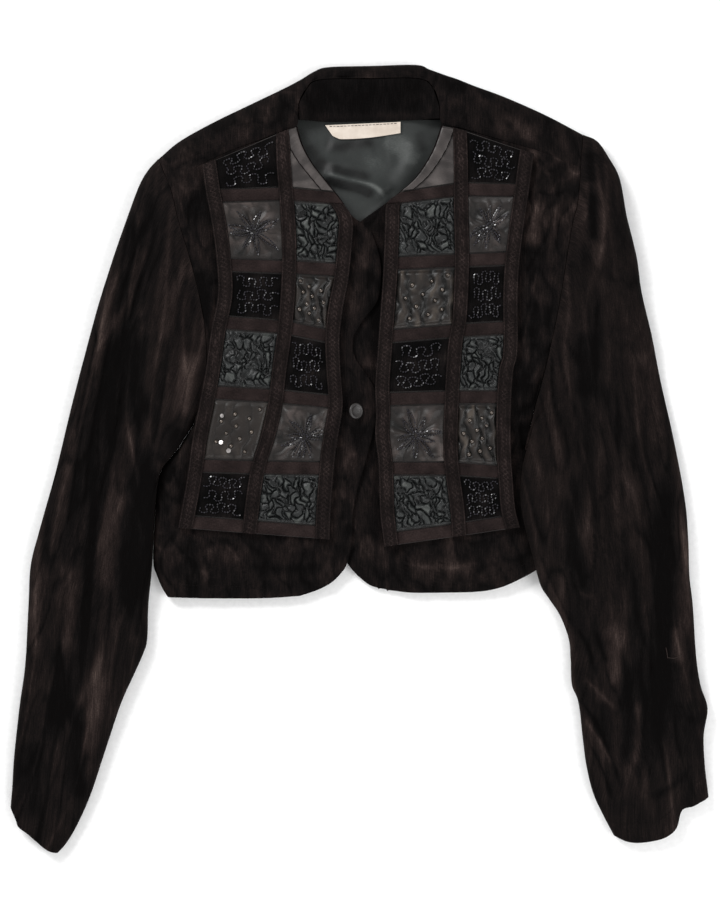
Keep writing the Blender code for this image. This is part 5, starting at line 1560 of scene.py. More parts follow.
@dataclass
class NeckOpening:
    """Lining, velvet facing and bare label that the neck opening shows."""

    body: Body
    finishes: Finishes
    lining_creases: Sequence[Fold] = (
        fold(9, 1, -33, 257.8, -6.8, 250.7, 14.9, 245.3, 23.9, 236.3),
        fold(12, -0.8, -30, 247, -4, 241, 14, 233),
        fold(16, -0.6, -40, 268, -10, 266, 20, 262),
        fold(10, 0.8, 22, 298, 27, 280, 30, 262),
        fold(12, 0.9, 30, 240, 12, 222, 2, 212))
    lining_shade: Sequence[PaintedLightBand] = (
        shade(6, 0.42, -36, 259, -20, 254.5, -5, 250.5, 10, 246.5, 20, 240, 24, 233),
        shade(12, -0.50, -42, 266, -22, 261, -4, 256.5, 12, 253),
        shade(10, -0.80, -34, 252, -16, 247.5, 2, 243, 14, 237),
        shade(16, 0.10, -26, 241, -6, 235, 6, 228),
        shade(12, -0.40, -34, 284, -18, 281.5, 0, 284, 16, 287),
        shade(14, -0.30, -45, 285, -35, 262),
        shade(26, 0.24, 20, 290, 40, 280, 46, 262),
        shade(16, 0.10, 0, 270, 25, 262),
        shade(12, -0.25, 52, 296, 58, 276),
        shade(20, -0.06, 2, 228, 0, 214))

    def lining_height(self, x: Grid, y: Grid) -> Grid:
        """Height of the lining's outer face before its finest creases."""
        return LINING_REST + SATIN_WALL + np.maximum(rise_of_folds(LINING_FOLDS, x, y), 0.0)

    def build_lining(self) -> None:
        """Satin lining of the back, seen in the neck opening."""
        u, v = unit_grid(76, 84)
        plan = between(LINING_CORNERS, u, v)
        x, y = plan[..., 0], plan[..., 1]
        fine = rise_of_creases(self.lining_creases, x, y) + 0.0003 * uneven(x, y, 0.012, 51)
        z = self.lining_height(x, y) + np.maximum(fine, -0.0008) * edge_fade(u, v, 0.08)
        outer = with_height(plan, z)
        painted_light_and_tone = np.full(x.shape, 0.42)
        for band in self.lining_shade:
            painted_light_and_tone += rise_along(band.points, band.width, band.tone, x, y)
        piece = Tailor.wall("back_lining_satin", outer, SATIN_WALL, self.finishes.lining,
                            inner=outer - np.array([0, 0, SATIN_WALL]), painted_light_and_tone=np.clip(painted_light_and_tone, 0, 1), uv=plan)
        Tailor.join(piece, "lining_satin", "back_lining")

    def build_facing(self) -> None:
        """Velvet facing inside the back neck."""
        count = len(FORWARD_SEAM) - 1
        first, last = FACING_STATIONS
        left, right = (PlanCurve(side) for side in FACING_SIDES)
        lower = PlanCurve(FACING_LOWER_EDGE)
        u, v = unit_grid(30, 90)
        plan = coons(lambda s: blended(FORWARD_SEAM, (first + (last - first) * s) / count), lower.at,
                     left.at, right.at, u, v)
        centre = np.array(FACING_CENTRE)
        plan = centre + (plan - centre) * np.array(FACING_EASE)
        x, y = plan[..., 0], plan[..., 1]
        low = LINING_REST + SATIN_WALL + ON_TOP_GAP + VELVET_WALL
        from_seam = np.minimum(v * FACING_DEPTH, np.minimum(u, 1 - u) * FACING_WIDTH)
        z = mix(self.body.top(x, y), low, smoothstep(from_seam / FACING_SINK))
        z += 0.0003 * (uneven(x, y, 0.014, 53) + 1) * smoothstep(from_seam / 0.012)
        outer = with_height(plan, z)
        # Painted shade over the facing's upper part under the neck roll, painted light along its lower edge
        # and near its left side
        painted_light_and_tone = painted_light_and_mottle((
            shade(60, -0.26, -60, 324, 80, 324),
            shade(8, 0.16, -46, 309, 64, 310),
            shade(12, 0.20, 56, 330, 66, 310)), x, y, 55)
        piece = Tailor.wall("neck_facing_velvet", outer, VELVET_WALL, self.finishes.velvet, painted_light_and_tone=painted_light_and_tone, uv=plan)
        Tailor.join(piece, "velvet", "neck_facing")

    def build_label(self, stitches: Scatter) -> None:
        """Bare woven label, its left end tucked and drooping."""
        u, v = unit_grid(18, 60)
        plan = between(LABEL_CORNERS, u, v)
        plan[..., 1] += LABEL_RISE * v * u - LABEL_DIP * v * np.sin(np.pi * u)
        plan[..., 0] += LABEL_TUCK * (1 - u) ** 6 * v * 3
        plan[..., 1] += LABEL_DROOP * np.clip(1 - u / 0.16, 0, 1) * v
        x, y = plan[..., 0], plan[..., 1]
        curl = 0.0006 * np.sin(9 * u + 1.2 * v) * v + 0.0008 * np.clip((u - 0.88) / 0.12, 0, 1) ** 2
        z = self.lining_height(x, y) + ON_TOP_GAP + LABEL_WALL + np.maximum(curl, 0)
        outer = with_height(plan, z)
        piece = Tailor.wall("label_tape", outer, LABEL_WALL, self.finishes.label,
                            inner=outer - np.array([0, 0, LABEL_WALL]), uv=plan)
        Tailor.join(piece, "label_cloth", "label")
        line = outer[2, 4:-4] + np.array([0, 0, 0.0002])
        Tailor.join(stitches.apply("label_stitches", [line], 9), "label_cloth")

    def build(self, stitches: Scatter) -> None:
        """Build all three."""
        self.build_lining()
        self.build_facing()
        self.build_label(stitches)


class Patch:
    """Places of one patch, its shares across and down, and what is uneven on it."""

    def __init__(self, plan: Grid, seed: int, flat: bool) -> None:
        """Read the plan; flat is whether the patch is sewn down nearly flat."""
        self.plan = plan
        self.seed = seed
        self.flat = flat
        self.x, self.y = plan[..., 0], plan[..., 1]
        self.u, self.v = unit_grid(*self.x.shape)
        self.pick = np.random.default_rng(seed)

    def noise(self, size: float, offset: int = 0, stretch: float = 1.0) -> Grid:
        """Smooth noise over the patch, its own for each offset."""
        return uneven(self.x, self.y, size, self.seed + offset, stretch)

    def fade(self, share: float) -> Grid:
        """0 at the patch's edges, rising to 1 inside."""
        return edge_fade(self.u, self.v, share)


@dataclass(frozen=True)
class PatchKind:
    """How finely a patch is modelled, its slot, and how much wider its gathers make its cut."""

    steps: int
    slot: str
    fullness: float = 1.0


PATCH_KINDS = {
    Cloth.VELVET: PatchKind(40, "velvet"), Cloth.PLAIN: PatchKind(40, "plain_satin"),
    Cloth.SATIN: PatchKind(64, "satin"), Cloth.RUCHED: PatchKind(92, "ruched_satin", 1.25),
    Cloth.CRINKLED: PatchKind(68, "crinkled_satin", 1.06)}


# The braids of a panel: guide line, step down the panel where it starts, and its edges from that line
BRAIDS = {
    "outer": (0, 0.0, 0.0, BRAID_WIDTH), "middle": (1, 0.0, -BRAID_WIDTH / 2, BRAID_WIDTH / 2),
    "inner": (2, 2.0, -BRAID_WIDTH, 0.0)}


class OverlayPanel:
    """One patchwork overlay panel with its patches, ribbons, braids, beads and binding."""

    binding_width: float = 0.0085
    ruche_rise: float = 0.0038
    crinkle_rise: float = 0.0026
    stud_count: int = 11
    dimple: float = 0.05
    ray_count: int = 9
    lozenge_pitch: float = 0.0085
    chevron_pitch: float = 0.0022
    stitch_inset: float = 0.0016

    def __init__(self, plan: PanelPlan, body: Body, finishes: Finishes, seed: int) -> None:
        """Read the guide lines of a panel that lies on the body; the seed is for what is uneven."""
        self.plan = plan
        self.side = plan.side
        self.backing = "overlay_%s_backing" % plan.side
        self.body = body
        self.finishes = finishes
        self.seed = seed
        self.flip = plan.side == "left"
        self.guides = [Guide(points) for points in (plan.outer, plan.middle, plan.inner)]
        knots = [plan.top]
        for band in plan.bands:
            knots += [tuple(y + way * RIBBON_HALF for y in band) for way in (1, -1)]
        self.knots = np.array(knots)
        self.bead_paths: list[Grid] = []
        self.studs: list[Grid] = []
        self.sequins: list[Grid] = []

    def line(self, down: Grid) -> list[Grid]:
        """Places of the three guide lines at steps down the panel; odd steps start a ribbon."""
        found = []
        for k, guide in enumerate(self.guides):
            y = np.interp(down, np.arange(len(self.knots)), self.knots[:, k])
            found.append(np.stack([guide.x(y), y], axis=-1))
        return found

    def on_row(self, line: list[Grid], guide: int, inwards: float) -> Grid:
        """Places a distance towards the centre front from one of the three guide lines."""
        neighbour = guide + (1 if inwards > 0 else -1)
        if not 0 <= neighbour <= 2:
            return line[guide]
        reach = np.linalg.norm(line[neighbour] - line[guide], axis=-1)
        return mix(line[guide], line[neighbour], np.minimum(abs(inwards) / reach, 0.45)[..., None])

    def height(self, plan: Grid) -> Grid:
        """Height of the panel's underside."""
        return self.body.smooth(plan[..., 0], plan[..., 1]) + OVERLAY_CLEARANCE

    def grid(self, ends: Callable[[Grid], tuple[Grid, Grid]], down: Grid, across: Grid) -> Grid:
        """Plan grid between two ends that are functions of the step down."""
        first, last = ends(down)
        return mix(first[:, None], last[:, None], across[None, :, None])

    def flat_wall(self, name: str, plan: Grid, low: float, high: Grid, material: Material,
                  painted_light_and_tone: Optional[Grid] = None) -> Piece:
        """Wall over the panel from one height above its underside to another."""
        base = self.height(plan)
        outer = with_height(plan, base + high)
        inner = with_height(plan, base + low)
        uv = np.stack([run_lengths(outer, 1), run_lengths(outer, 0)], axis=-1)
        uv[..., 0] += self.seed * 0.37
        if painted_light_and_tone is None:
            painted_light_and_tone = np.full(plan.shape[:2], 0.5)
        return Tailor.wall(name, outer, -1.0 if self.flip else 1.0, material, inner=inner,
                           painted_light_and_tone=np.clip(painted_light_and_tone, 0, 1), uv=uv)

    def build_backing(self) -> None:
        """Backing that everything is sewn to."""
        down = np.linspace(0, 12, 90)
        line = self.line(down)
        halves = [mix(line[k][:, None], line[k + 1][:, None], np.linspace(0, 1, 18)[None, :, None])
                  for k in range(2)]
        plan = np.concatenate([halves[0], halves[1][:, 1:]], axis=1)
        piece = self.flat_wall(self.backing, plan, 0.0, np.full(plan.shape[:2], PATCH_WALL),
                               self.finishes.plain)
        Tailor.join(piece, "plain_satin", "overlay_" + self.side)

    def build_ribbons(self) -> None:
        """Six ribbed ribbons across the panel."""
        across = np.linspace(0, 1, 64)
        for row in range(PATCH_ROWS):
            down = np.linspace(2 * row + 1.04, 2 * row + 1.96, 12)
            line = self.line(down)
            plan = np.concatenate([
                mix(line[0][:, None], line[1][:, None], across[None, :, None]),
                mix(line[1][:, None], line[2][:, None], across[None, 1:, None])], axis=1)
            edge = np.minimum(np.linspace(0, 1, 12), np.linspace(1, 0, 12))[:, None]
            crown = 0.0004 * roll(edge / 0.12) + 0.00018 * np.exp(-((edge - 0.10) / 0.05) ** 2)
            high = LAYER_ONE + TRIM_WALL - 0.0004 + crown
            high = high + 0.00022 * uneven_over(plan, 0.009, self.seed + row)
            painted_light_and_tone = 0.5 + 0.22 * uneven_over(plan, 0.014, self.seed + 20 + row)
            name = "ribbon_%s_%d" % (self.side, row + 1)
            piece = self.flat_wall(name + "_woven", plan, LAYER_ONE, high, self.finishes.ribbon, painted_light_and_tone)
            Tailor.join(piece, "braid", name)

    def build_braids(self) -> None:
        """Three woven braids down the panel, each with a chain of lozenges between two cords."""
        for place, (guide, start, near, far) in BRAIDS.items():
            down = np.linspace(start, 12.0, 330)
            across = np.linspace(0, 1, 21)

            def ends(at: Grid, guide: int = guide, near: float = near, far: float = far) -> tuple:
                """Both edges of the braid."""
                line = self.line(at)
                return self.on_row(line, guide, near), self.on_row(line, guide, far)

            plan = self.grid(ends, down, across)
            along = run_lengths(with_height(plan, self.height(plan)), 0)
            side = across[None, :] - 0.5
            zigzag = 0.20 * (2 * np.abs((along / self.lozenge_pitch) % 1 - 0.5) * 2 - 1)
            lozenge = np.exp(-((np.abs(side) - np.abs(zigzag)) / 0.055) ** 2)
            cords = np.exp(-((np.abs(side) - 0.43) / 0.035) ** 2)
            chevron = 0.5 + 0.5 * np.sin(2 * np.pi * (along / self.chevron_pitch + 2.2 * np.abs(side)))
            bow = roll((0.5 - np.abs(side)) / 0.06)
            relief = 0.00030 * lozenge + 0.00034 * cords + 0.00012 * chevron + 0.0004 * bow - 0.0006
            high = LAYER_TWO + TRIM_WALL + relief
            high = high + 0.00025 * uneven_over(plan, 0.011, self.seed + guide, 1.6)
            painted_light_and_tone = 0.30 + 0.42 * lozenge + 0.40 * cords + 0.12 * chevron
            painted_light_and_tone = painted_light_and_tone + 0.15 * uneven_over(plan, 0.016, self.seed + 40 + guide)
            name = "braid_%s_%s" % (self.side, place)
            piece = self.flat_wall(name + "_woven", plan, LAYER_TWO, high, self.finishes.braid, painted_light_and_tone)
            Tailor.join(piece, "braid", name)

    def patch_plan(self, row: int, column: int, cloth: Cloth, count: int) -> Grid:
        """Plan grid of one patch, tucked a little under the braids beside it."""
        half = BRAID_WIDTH / 2

        def ends(at: Grid) -> tuple[Grid, Grid]:
            """Both sides of the patch."""
            line = self.line(at)
            if column == 0:
                return (self.on_row(line, 0, BRAID_WIDTH - PATCH_TUCK),
                        self.on_row(line, 1, -half + PATCH_TUCK))
            last = line[2] if cloth is Cloth.PLAIN else self.on_row(line, 2, -BRAID_WIDTH + PATCH_TUCK)
            return self.on_row(line, 1, half - PATCH_TUCK), last

        return self.grid(ends, np.linspace(2 * row + 0.02, 2 * row + 0.98, count), np.linspace(0, 1, count))

    def build_patches(self) -> None:
        """Twelve patches, each by its cloth."""
        stuff = self.finishes
        ways = {
            Cloth.VELVET: (self.velvet_patch, stuff.patch_velvet),
            Cloth.PLAIN: (self.plain_patch, stuff.plain),
            Cloth.SATIN: (self.satin_patch, stuff.satin), Cloth.RUCHED: (self.ruched_patch, stuff.ruched),
            Cloth.CRINKLED: (self.crinkled_patch, stuff.crinkled)}
        for row, cloths in enumerate(PATCH_CLOTHS):
            for column, cloth in enumerate(cloths):
                kind = PATCH_KINDS[cloth]
                make, material = ways[cloth]
                plan = self.patch_plan(row, column, cloth, kind.steps)
                flat = self.side == "right" and row == FLAT_ROW
                relief, painted_light_and_tone = make(Patch(plan, self.seed * 3 + row * 5 + column * 2, flat))
                name = "patch_%s_%s_%d" % (self.side, ("outer", "inner")[column], row + 1)
                piece = self.flat_wall("%s_%s" % (name, cloth.value), plan, LAYER_ONE,
                                       LAYER_ONE + PATCH_WALL + relief, material, painted_light_and_tone)
                Tailor.join(piece, kind.slot, name)

    def on_patch(self, plan: Grid, relief: Grid, u: Grid, v: Grid, above: float) -> Grid:
        """Points over a patch at shares across and down it."""
        count_down, count_across = plan.shape[:2]
        i = np.clip(v * (count_down - 1), 0, count_down - 1.001)
        j = np.clip(u * (count_across - 1), 0, count_across - 1.001)
        i0, j0 = i.astype(int), j.astype(int)
        a, b = (i - i0)[..., None], (j - j0)[..., None]
        full = np.concatenate([plan, relief[..., None]], axis=-1)
        found = ((1 - a) * (1 - b) * full[i0, j0] + a * (1 - b) * full[i0 + 1, j0]
                 + (1 - a) * b * full[i0, j0 + 1] + a * b * full[i0 + 1, j0 + 1])
        z = self.height(found[..., :2]) + LAYER_ONE + PATCH_WALL + found[..., 2] + above
        return with_height(found[..., :2], z)

    def velvet_patch(self, patch: Patch) -> tuple[Grid, Grid]:
        """Velvet with a wandering line of beads, worked in three waves."""
        relief = 0.0003 * patch.noise(0.012) * patch.fade(0.12)
        painted_light_and_tone = 0.32 + 0.34 * patch.noise(0.014, 2)
        pick = patch.pick
        for wave, level in enumerate((0.20, 0.50, 0.80)):
            s = np.linspace(0, 1, 200)
            turns = pick.uniform(3.0, 3.9)
            phase = pick.uniform(0, math.tau)
            loops = pick.uniform(0.035, 0.055)
            u = 0.10 + 0.80 * s - loops * np.sin(2 * math.tau * turns * s + 2 * phase)
            v = level + 0.105 * np.sin(math.tau * turns * s + phase)
            v = v + 0.03 * np.sin(math.tau * (1.3 * s + wave * 0.4 + phase))
            kept = (s >= pick.uniform(0.0, 0.06)) & (s <= pick.uniform(0.92, 1.0))
            self.bead_paths.append(self.on_patch(patch.plan, relief, u[kept], v[kept], BEAD_LIFT))
        return relief, painted_light_and_tone

    def plain_patch(self, patch: Patch) -> tuple[Grid, Grid]:
        """Plain satin with fine creases drawn across it."""
        x, y = patch.x, patch.y
        creases = np.sin((y + 0.35 * x * (1 if self.flip else -1)) / 0.0016 + 2.5 * uneven(x, y, 0.02, 5))
        strength = 0.4 + 0.6 * patch.noise(0.012)
        relief = (0.00030 * creases * strength + 0.0002 * patch.noise(0.010)) * patch.fade(0.10)
        # Colour value: painted highlights on the crease ridges and painted shade in their hollows, with
        # random mottle
        return relief, 0.60 + 0.24 * patch.noise(0.012, 1) + 0.13 * creases * strength

    def satin_patch(self, patch: Patch) -> tuple[Grid, Grid]:
        """Satin drawn up round a spray of beaded rays."""
        pick, u, v, fade = patch.pick, patch.u, patch.v, patch.fade(0.10)
        centre = 0.54 + pick.uniform(-0.08, 0.08), 0.52 + pick.uniform(-0.06, 0.06)
        angle = np.arctan2(v - centre[1], u - centre[0])
        away = np.hypot(u - centre[0], v - centre[1])
        petals = np.sin(9 * angle + pick.uniform(0, 6)) + 0.6 * np.sin(14 * angle + pick.uniform(0, 6))
        drawn = petals * np.exp(-((away - 0.28) / 0.20) ** 2)
        lumps = patch.noise(0.009) + patch.noise(0.014, 4, 2.0)
        relief = (0.0007 * drawn + 0.0009 * lumps + 0.0011) * fade
        relief += 0.0004 * smoothstep(away / 0.25)
        drags = np.abs(np.sin(6.5 * angle + 2.2 * patch.noise(0.010, 6))) ** 0.35
        drags = (1 - drags) * smoothstep(away / 0.20) * (0.5 + 0.5 * patch.noise(0.016, 8))
        relief -= 0.0006 * drags * fade
        for ray in range(self.ray_count):
            heading = math.tau * (ray + pick.uniform(-0.28, 0.28)) / self.ray_count
            length = pick.uniform(0.32, 0.54)
            bend = pick.uniform(-0.35, 0.35)
            s = np.linspace(0.14, 1, 20)
            for offset in (-0.019, 0.019):
                turn = heading + bend * s
                swell = offset * np.sin(np.pi * np.clip(s, 0, 1)) * 2
                along_u = centre[0] + length * s * np.cos(turn) - swell * np.sin(turn)
                along_v = centre[1] + length * s * np.sin(turn) + swell * np.cos(turn)
                inside = (along_u > 0.05) & (along_u < 0.95) & (along_v > 0.06) & (along_v < 0.94)
                last = len(s) if inside.all() else int(np.argmin(inside))
                if last > 3:
                    self.bead_paths.append(
                        self.on_patch(patch.plan, relief, along_u[:last], along_v[:last], BEAD_LIFT))
        # Painted highlights on the drawn petals and lumps, painted shade in the drag hollows and at the
        # gathered centre
        painted_light_and_tone = 0.47 + 0.10 * drawn + 0.20 * lumps - 0.60 * drags
        return relief, painted_light_and_tone - 0.14 * np.exp(-(away / 0.16) ** 2)

    def ruched_patch(self, patch: Patch) -> tuple[Grid, Grid]:
        """Satin gathered by elastic thread into short puckers that wander every way."""
        pick, x, y = patch.pick, patch.x, patch.y
        warp_x = x + 0.0040 * patch.noise(0.011) + 0.0012 * patch.noise(0.004, 5)
        warp_y = y + 0.0040 * patch.noise(0.011, 1)
        pitch_x, pitch_y = 0.0052, 0.0084
        columns = np.arange(x.min() - pitch_x, x.max() + pitch_x, pitch_x)
        rows = np.arange(y.min() - pitch_y, y.max() + pitch_y, pitch_y)
        near, next_near = np.full(x.shape, 1e9), np.full(x.shape, 1e9)
        tone = np.zeros(x.shape)
        for seed_x in columns:
            for seed_y in rows:
                a, b, lean, own = pick.uniform(-0.62, 0.62, 4)
                dx = (warp_x - seed_x - a * pitch_x) / pitch_x
                dy = (warp_y - seed_y - b * pitch_y) / pitch_y
                away = np.hypot(dx + 1.3 * lean * dy, dy)
                closer = away < near
                next_near = np.where(closer, near, np.minimum(next_near, away))
                near = np.where(closer, away, near)
                tone = np.where(closer, own, tone)
        lobes = np.clip((next_near - near) / 0.55, 0, 1) ** 0.55
        finer = uneven(warp_x * 1.6, warp_y, 0.0032, patch.seed + 4)
        puckers = lobes * (0.86 + 0.5 * tone) + 0.10 * finer
        relief = self.ruche_rise * np.clip(puckers, 0, 1.2) * patch.fade(0.07)
        # Painted light on the lobes, more on the higher ones, and near-black painted shade in the creases
        # between them, with fine random mottle
        return relief, -0.04 + 0.64 * lobes ** 1.3 + 0.36 * tone * lobes + 0.14 * finer

    def crinkled_patch(self, patch: Patch) -> tuple[Grid, Grid]:
        """Satin in soft upright folds, held down by scattered studs."""
        pick, u, v = patch.pick, patch.u, patch.v
        strength = 0.35 if patch.flat else 1.0
        wander = u + 0.10 * patch.noise(0.018) + 0.16 * (v - 0.5) * pick.uniform(-1, 1)
        wander = wander + 0.05 * patch.noise(0.007, 2)
        ridge = np.abs(np.sin(np.pi * (3.6 * wander + 0.3))) ** (0.42 if patch.flat else 0.80)
        folds = strength * (0.80 * ridge + 0.35 * np.abs(patch.noise(0.012, 1, 2.2)))
        places = []
        dimples = np.zeros(u.shape)
        for k in range(self.stud_count):
            a = 0.12 + 0.76 * ((k * 0.382 + pick.uniform(-0.05, 0.05)) % 1)
            b = 0.10 + 0.80 * (k + 0.5 + pick.uniform(-0.3, 0.3)) / self.stud_count
            places.append((a, b))
            dimples += np.exp(-((u - a) ** 2 + (v - b) ** 2) / self.dimple ** 2)
        relief = self.crinkle_rise * (folds + 0.20) * (1 - 0.75 * np.clip(dimples, 0, 1))
        relief = relief * patch.fade(0.08)
        a, b = np.array(places).T
        self.studs.append(self.on_patch(patch.plan, relief, a, b, 0.0008))
        if patch.flat:
            marks = np.array([(0.20, 0.26), (0.28, 0.72), (0.46, 0.86)])
            self.sequins.append(self.on_patch(patch.plan, relief, marks[:, 0], marks[:, 1], 0.0010))
        # Painted highlights on the fold ridges and painted shade in the hollows between them and in the
        # studs' dimples
        middle, contrast = (0.40, 0.95) if patch.flat else (0.27, 1.30)
        return relief, middle + contrast * (folds - 0.74 * strength) - 0.34 * dimples * strength

    def build_binding(self) -> None:
        """Bias binding along the neckline, with a dark piping where it is sewn on."""
        down = np.linspace(0.03, 0.985, 70)
        line = self.line(down)
        edge = line[2]
        reach = np.linalg.norm(line[1] - line[2], axis=-1)
        inner = mix(line[2], line[1], np.minimum(self.binding_width * 1.25 / reach, 0.8)[:, None])
        across = np.linspace(0, 1, 16)
        plan = mix(inner[:, None], edge[:, None], across[None, :, None])
        along = run_lengths(with_height(plan, self.height(plan)), 0)
        crown = 0.0005 * roll(np.minimum(across, 1 - across) / 0.18)[None, :]
        drawn = 0.00022 * np.sin(
            along / 0.0012 + 4 * across[None, :] + 2 * uneven_over(plan, 0.02, self.seed))
        low = LAYER_ONE + PATCH_WALL + 0.0002
        painted_light_and_tone = 0.62 + 0.20 * uneven_over(plan, 0.010, self.seed + 60)
        piece = self.flat_wall("neck_binding_" + self.side, plan, low, low + 0.0006 + crown + drawn,
                               self.finishes.plain, painted_light_and_tone)
        Tailor.join(piece, "plain_satin")
        piping = with_height(inner, self.height(inner) + low + THREAD_LIFT)
        cord = Tailor.tube("neck_piping_" + self.side, piping, PIPING_RADIUS, self.finishes.thread)
        Tailor.join(cord, "velvet")

    def build_sewing(self, stitches: Scatter) -> None:
        """Stitches along both edges of the braids."""
        paths = []
        above = LAYER_TWO + TRIM_WALL + 0.0001
        for guide, start, near, far in BRAIDS.values():
            for offset in (near + self.stitch_inset, far - self.stitch_inset):
                down = np.linspace(start + 0.2, 11.9, 150)
                place = self.on_row(self.line(down), guide, offset)
                paths.append(with_height(place, self.height(place) + above))
        Tailor.join(stitches.apply("braid_%s_stitches" % self.side, paths, self.seed), "braid")

    def build(self, beads: Scatter, studs: Scatter, sequins: Scatter, stitches: Scatter) -> None:
        """Build the whole panel."""
        self.build_backing()
        self.build_patches()
        self.build_ribbons()
        self.build_braids()
        self.build_binding()
        self.build_sewing(stitches)
        for kind, scatter, paths in (("beads_", beads, self.bead_paths), ("studs_", studs, self.studs),
                                     ("sequins_", sequins, self.sequins)):
            if paths:
                Tailor.join(scatter.apply(kind + self.side, paths, self.seed), "button")


@dataclass
class Button:
    """Shank button, tilted in its buttonhole."""

    body: Body
    finishes: Finishes
    diameter: float = 0.0145
    thickness: float = 0.0026
    tilt: float = math.radians(32)
    segments: int = 48
    profile: Points = (
        (0.00, 0.62), (0.30, 0.62), (0.52, 0.68), (0.66, 0.86), (0.76, 1.00), (0.86, 0.98),
        (0.95, 0.82), (1.00, 0.52), (0.97, 0.20), (0.86, 0.02), (0.50, 0.00), (0.00, 0.00))

    def build(self) -> None:
        """Turn the dished profile, tilt it and set it where the solid is."""
        low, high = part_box("button")
        centre = (low + high) / 2
        count, rings = self.segments, len(self.profile) - 2
        radius, cos, sin = self.diameter / 2, math.cos(self.tilt), math.sin(self.tilt)
        angles = [math.tau * k / count for k in range(count)]
        points = [(radius * share * math.cos(angle), radius * share * math.sin(angle),
                   self.thickness * (level - 0.5))
                  for share, level in self.profile[1:-1] for angle in angles]
        points.append((0.0, 0.0, self.thickness * (self.profile[0][1] - 0.5)))
        points.append((0.0, 0.0, -self.thickness / 2))
        after = [(k + 1) % count for k in range(count)]
        faces = [(first + k, first + count + k, first + count + after[k], first + after[k])
                 for first in range(0, (rings - 1) * count, count) for k in range(count)]
        top, last = rings * count, (rings - 1) * count
        for k in range(count):
            faces += [(top, k, after[k]), (top + 1, last + after[k], last + k)]
        turned = [(x * cos + z * sin + centre.x, y + centre.y, -x * sin + z * cos + centre.z)
                  for x, y, z in points]
        mesh = new_mesh("button_resin", turned, [], faces)
        mesh.materials.append(self.finishes.button)
        mesh.shade_smooth()
        mesh.set_sharp_from_angle(angle=math.radians(50))
        Tailor.join(new_piece("button_resin", mesh), "button", "button")

    def build_buttonhole(self, stitches: Scatter) -> None:
        """Worked edges of the buttonhole that the button sits in."""
        low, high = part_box("button")
        middle = (low.y + high.y) / 2
        paths = []
        for offset in (-0.0012, 0.0012):
            x = np.linspace(low.x - 0.004, high.x + 0.003, 30)
            y = np.full(30, middle + offset)
            paths.append(np.stack([x, y, self.body.top(x, y, True) + THREAD_LIFT], axis=-1))
        Tailor.join(stitches.apply("buttonhole_stitches", paths, 3), "velvet")


@dataclass
class WearMarks:
    """Pale rubbed threads on the left sleeve's pile."""

    sleeve: Sleeve
    finishes: Finishes
    strokes: Sequence[Points] = (
        mm(276.5, -179, 282.5, -179.5, 289.5, -177),
        mm(275, -170, 276, -175, 276.5, -179.5))
    radius: float = 0.00028

    def build(self) -> None:
        """Lay each stroke on the sleeve."""
        for number, points in enumerate(self.strokes):
            place = PlanCurve(points).at(np.linspace(0, 1, 24))
            z = self.sleeve.top(place[:, 0], place[:, 1]) + THREAD_LIFT
            path = with_height(place, z)
            path[:, 0] += self.sleeve.plan.towards_body * -SLEEVE_EASE
            piece = Tailor.tube(
                "worn_thread_%d" % (number + 1), path, self.radius, self.finishes.pale_thread)
            Tailor.join(piece, "velvet")


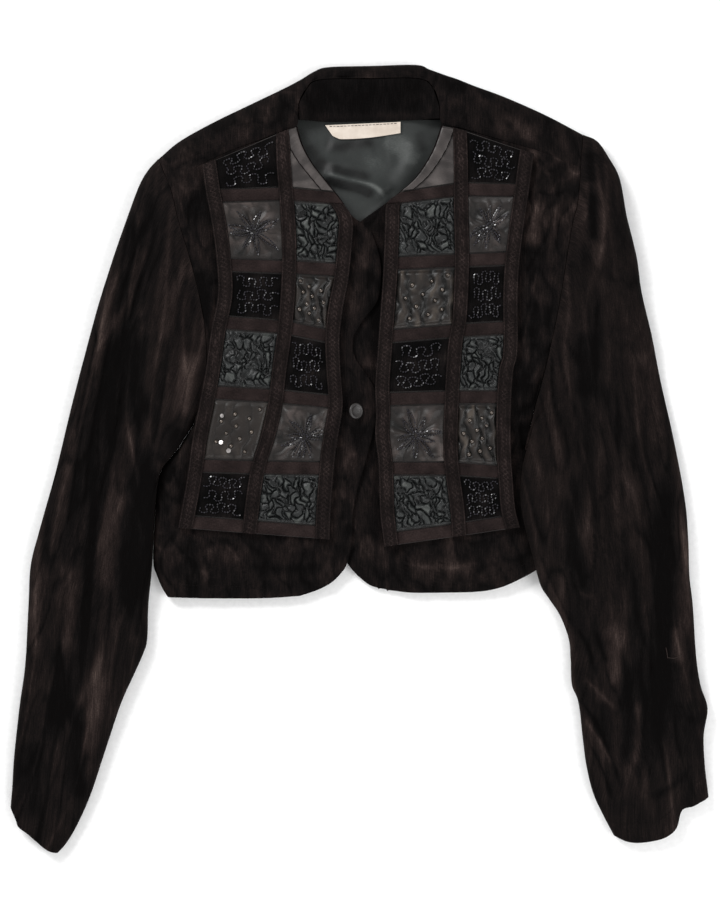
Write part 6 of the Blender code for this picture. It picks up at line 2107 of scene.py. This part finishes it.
@dataclass
class Studio:
    """Paper floor, soft lights and the camera of the photograph."""

    finishes: Finishes
    floor_half: float = 3.0
    floor_drop: float = -0.0003

    def build_floor(self) -> None:
        """Sheet of white paper under the jacket."""
        half, low = self.floor_half, self.floor_drop
        ring = [(-half, -half, low), (half, -half, low), (half, half, low), (-half, half, low)]
        mesh = new_mesh("paper_floor", ring, [], [(0, 1, 2, 3)])
        mesh.materials.append(self.finishes.paper)
        new_piece("paper_floor", mesh)

    def add_light(self, name: str, place: tuple[float, float, float], size: float, power: float) -> None:
        """Square soft light that faces the jacket."""
        light = bpy.data.lights.new(name, "AREA")
        light.size = size
        light.energy = power
        lamp = new_piece(name, light)
        lamp.location = place
        lamp.rotation_euler = (-Vector(place)).to_track_quat("-Z", "Y").to_euler()

    def build_lights(self) -> None:
        """Key from the upper left, weaker fills and an even surround."""
        self.add_light("key", (-1.3, 1.5, 1.5), 0.9, 46.0)
        self.add_light("fill", (1.6, -0.6, 1.6), 1.4, 22.0)
        self.add_light("low", (0.2, -1.8, 1.1), 1.0, 12.0)
        world = bpy.data.worlds.new("studio_surround")
        world.use_nodes = True
        surround = world.node_tree.nodes["Background"].inputs
        surround["Color"].default_value = (1.0, 1.0, 1.0, 1.0)
        surround["Strength"].default_value = 0.55
        bpy.context.scene.world = world

    def build_camera(self) -> None:
        """Long lens straight overhead, on the frame of the photograph."""
        camera = bpy.data.cameras.new("overhead_camera")
        camera.lens = LENS
        camera.sensor_fit = "VERTICAL"
        camera.sensor_height = SENSOR
        camera.clip_end = 20.0
        height = FRAME_HEIGHT * METRES_PER_PIXEL * LENS / SENSOR + LAID_HEIGHT
        holder = new_piece("overhead_camera", camera)
        holder.location = (0.5 * METRES_PER_PIXEL, -0.5 * METRES_PER_PIXEL, height)
        bpy.context.scene.camera = holder

    def build(self) -> None:
        """Build the studio."""
        bpy.context.scene.view_settings.view_transform = "Standard"
        self.build_floor()
        self.build_lights()
        self.build_camera()


def corners(bounds: tuple[Vector, Vector]) -> list[list[float]]:
    """Box corners as plain lists."""
    return [[float(value) for value in corner] for corner in bounds]


def main() -> None:
    """Build every piece in order."""
    logging.basicConfig(level=logging.INFO, format="%(name)s %(message)s")
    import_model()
    finishes = Finishes()
    Studio(finishes).build()
    stitches = Scatter(Grain.STITCH, finishes.thread)
    beads = Scatter(Grain.SEED_BEAD, finishes.glass)
    studs = Scatter(Grain.STUD, finishes.pearl)
    sequins = Scatter(Grain.SEQUIN, finishes.sequin)
    body = Body(finishes)
    body.build_back()
    body.build_fronts()
    body.stitch_hems(stitches)
    for plan in (RIGHT_SLEEVE, LEFT_SLEEVE):
        sleeve = Sleeve(plan, body, finishes)
        sleeve.build(stitches)
    WearMarks(sleeve, finishes).build()
    NeckOpening(body, finishes).build(stitches)
    OverlayPanel(RIGHT_PANEL, body, finishes, 2).build(beads, studs, sequins, stitches)
    OverlayPanel(LEFT_PANEL, body, finishes, 9).build(beads, studs, sequins, stitches)
    button = Button(body, finishes)
    button.build()
    button.build_buttonhole(stitches)
    bpy.context.view_layer.update()


if __name__ == "__main__":
    main()
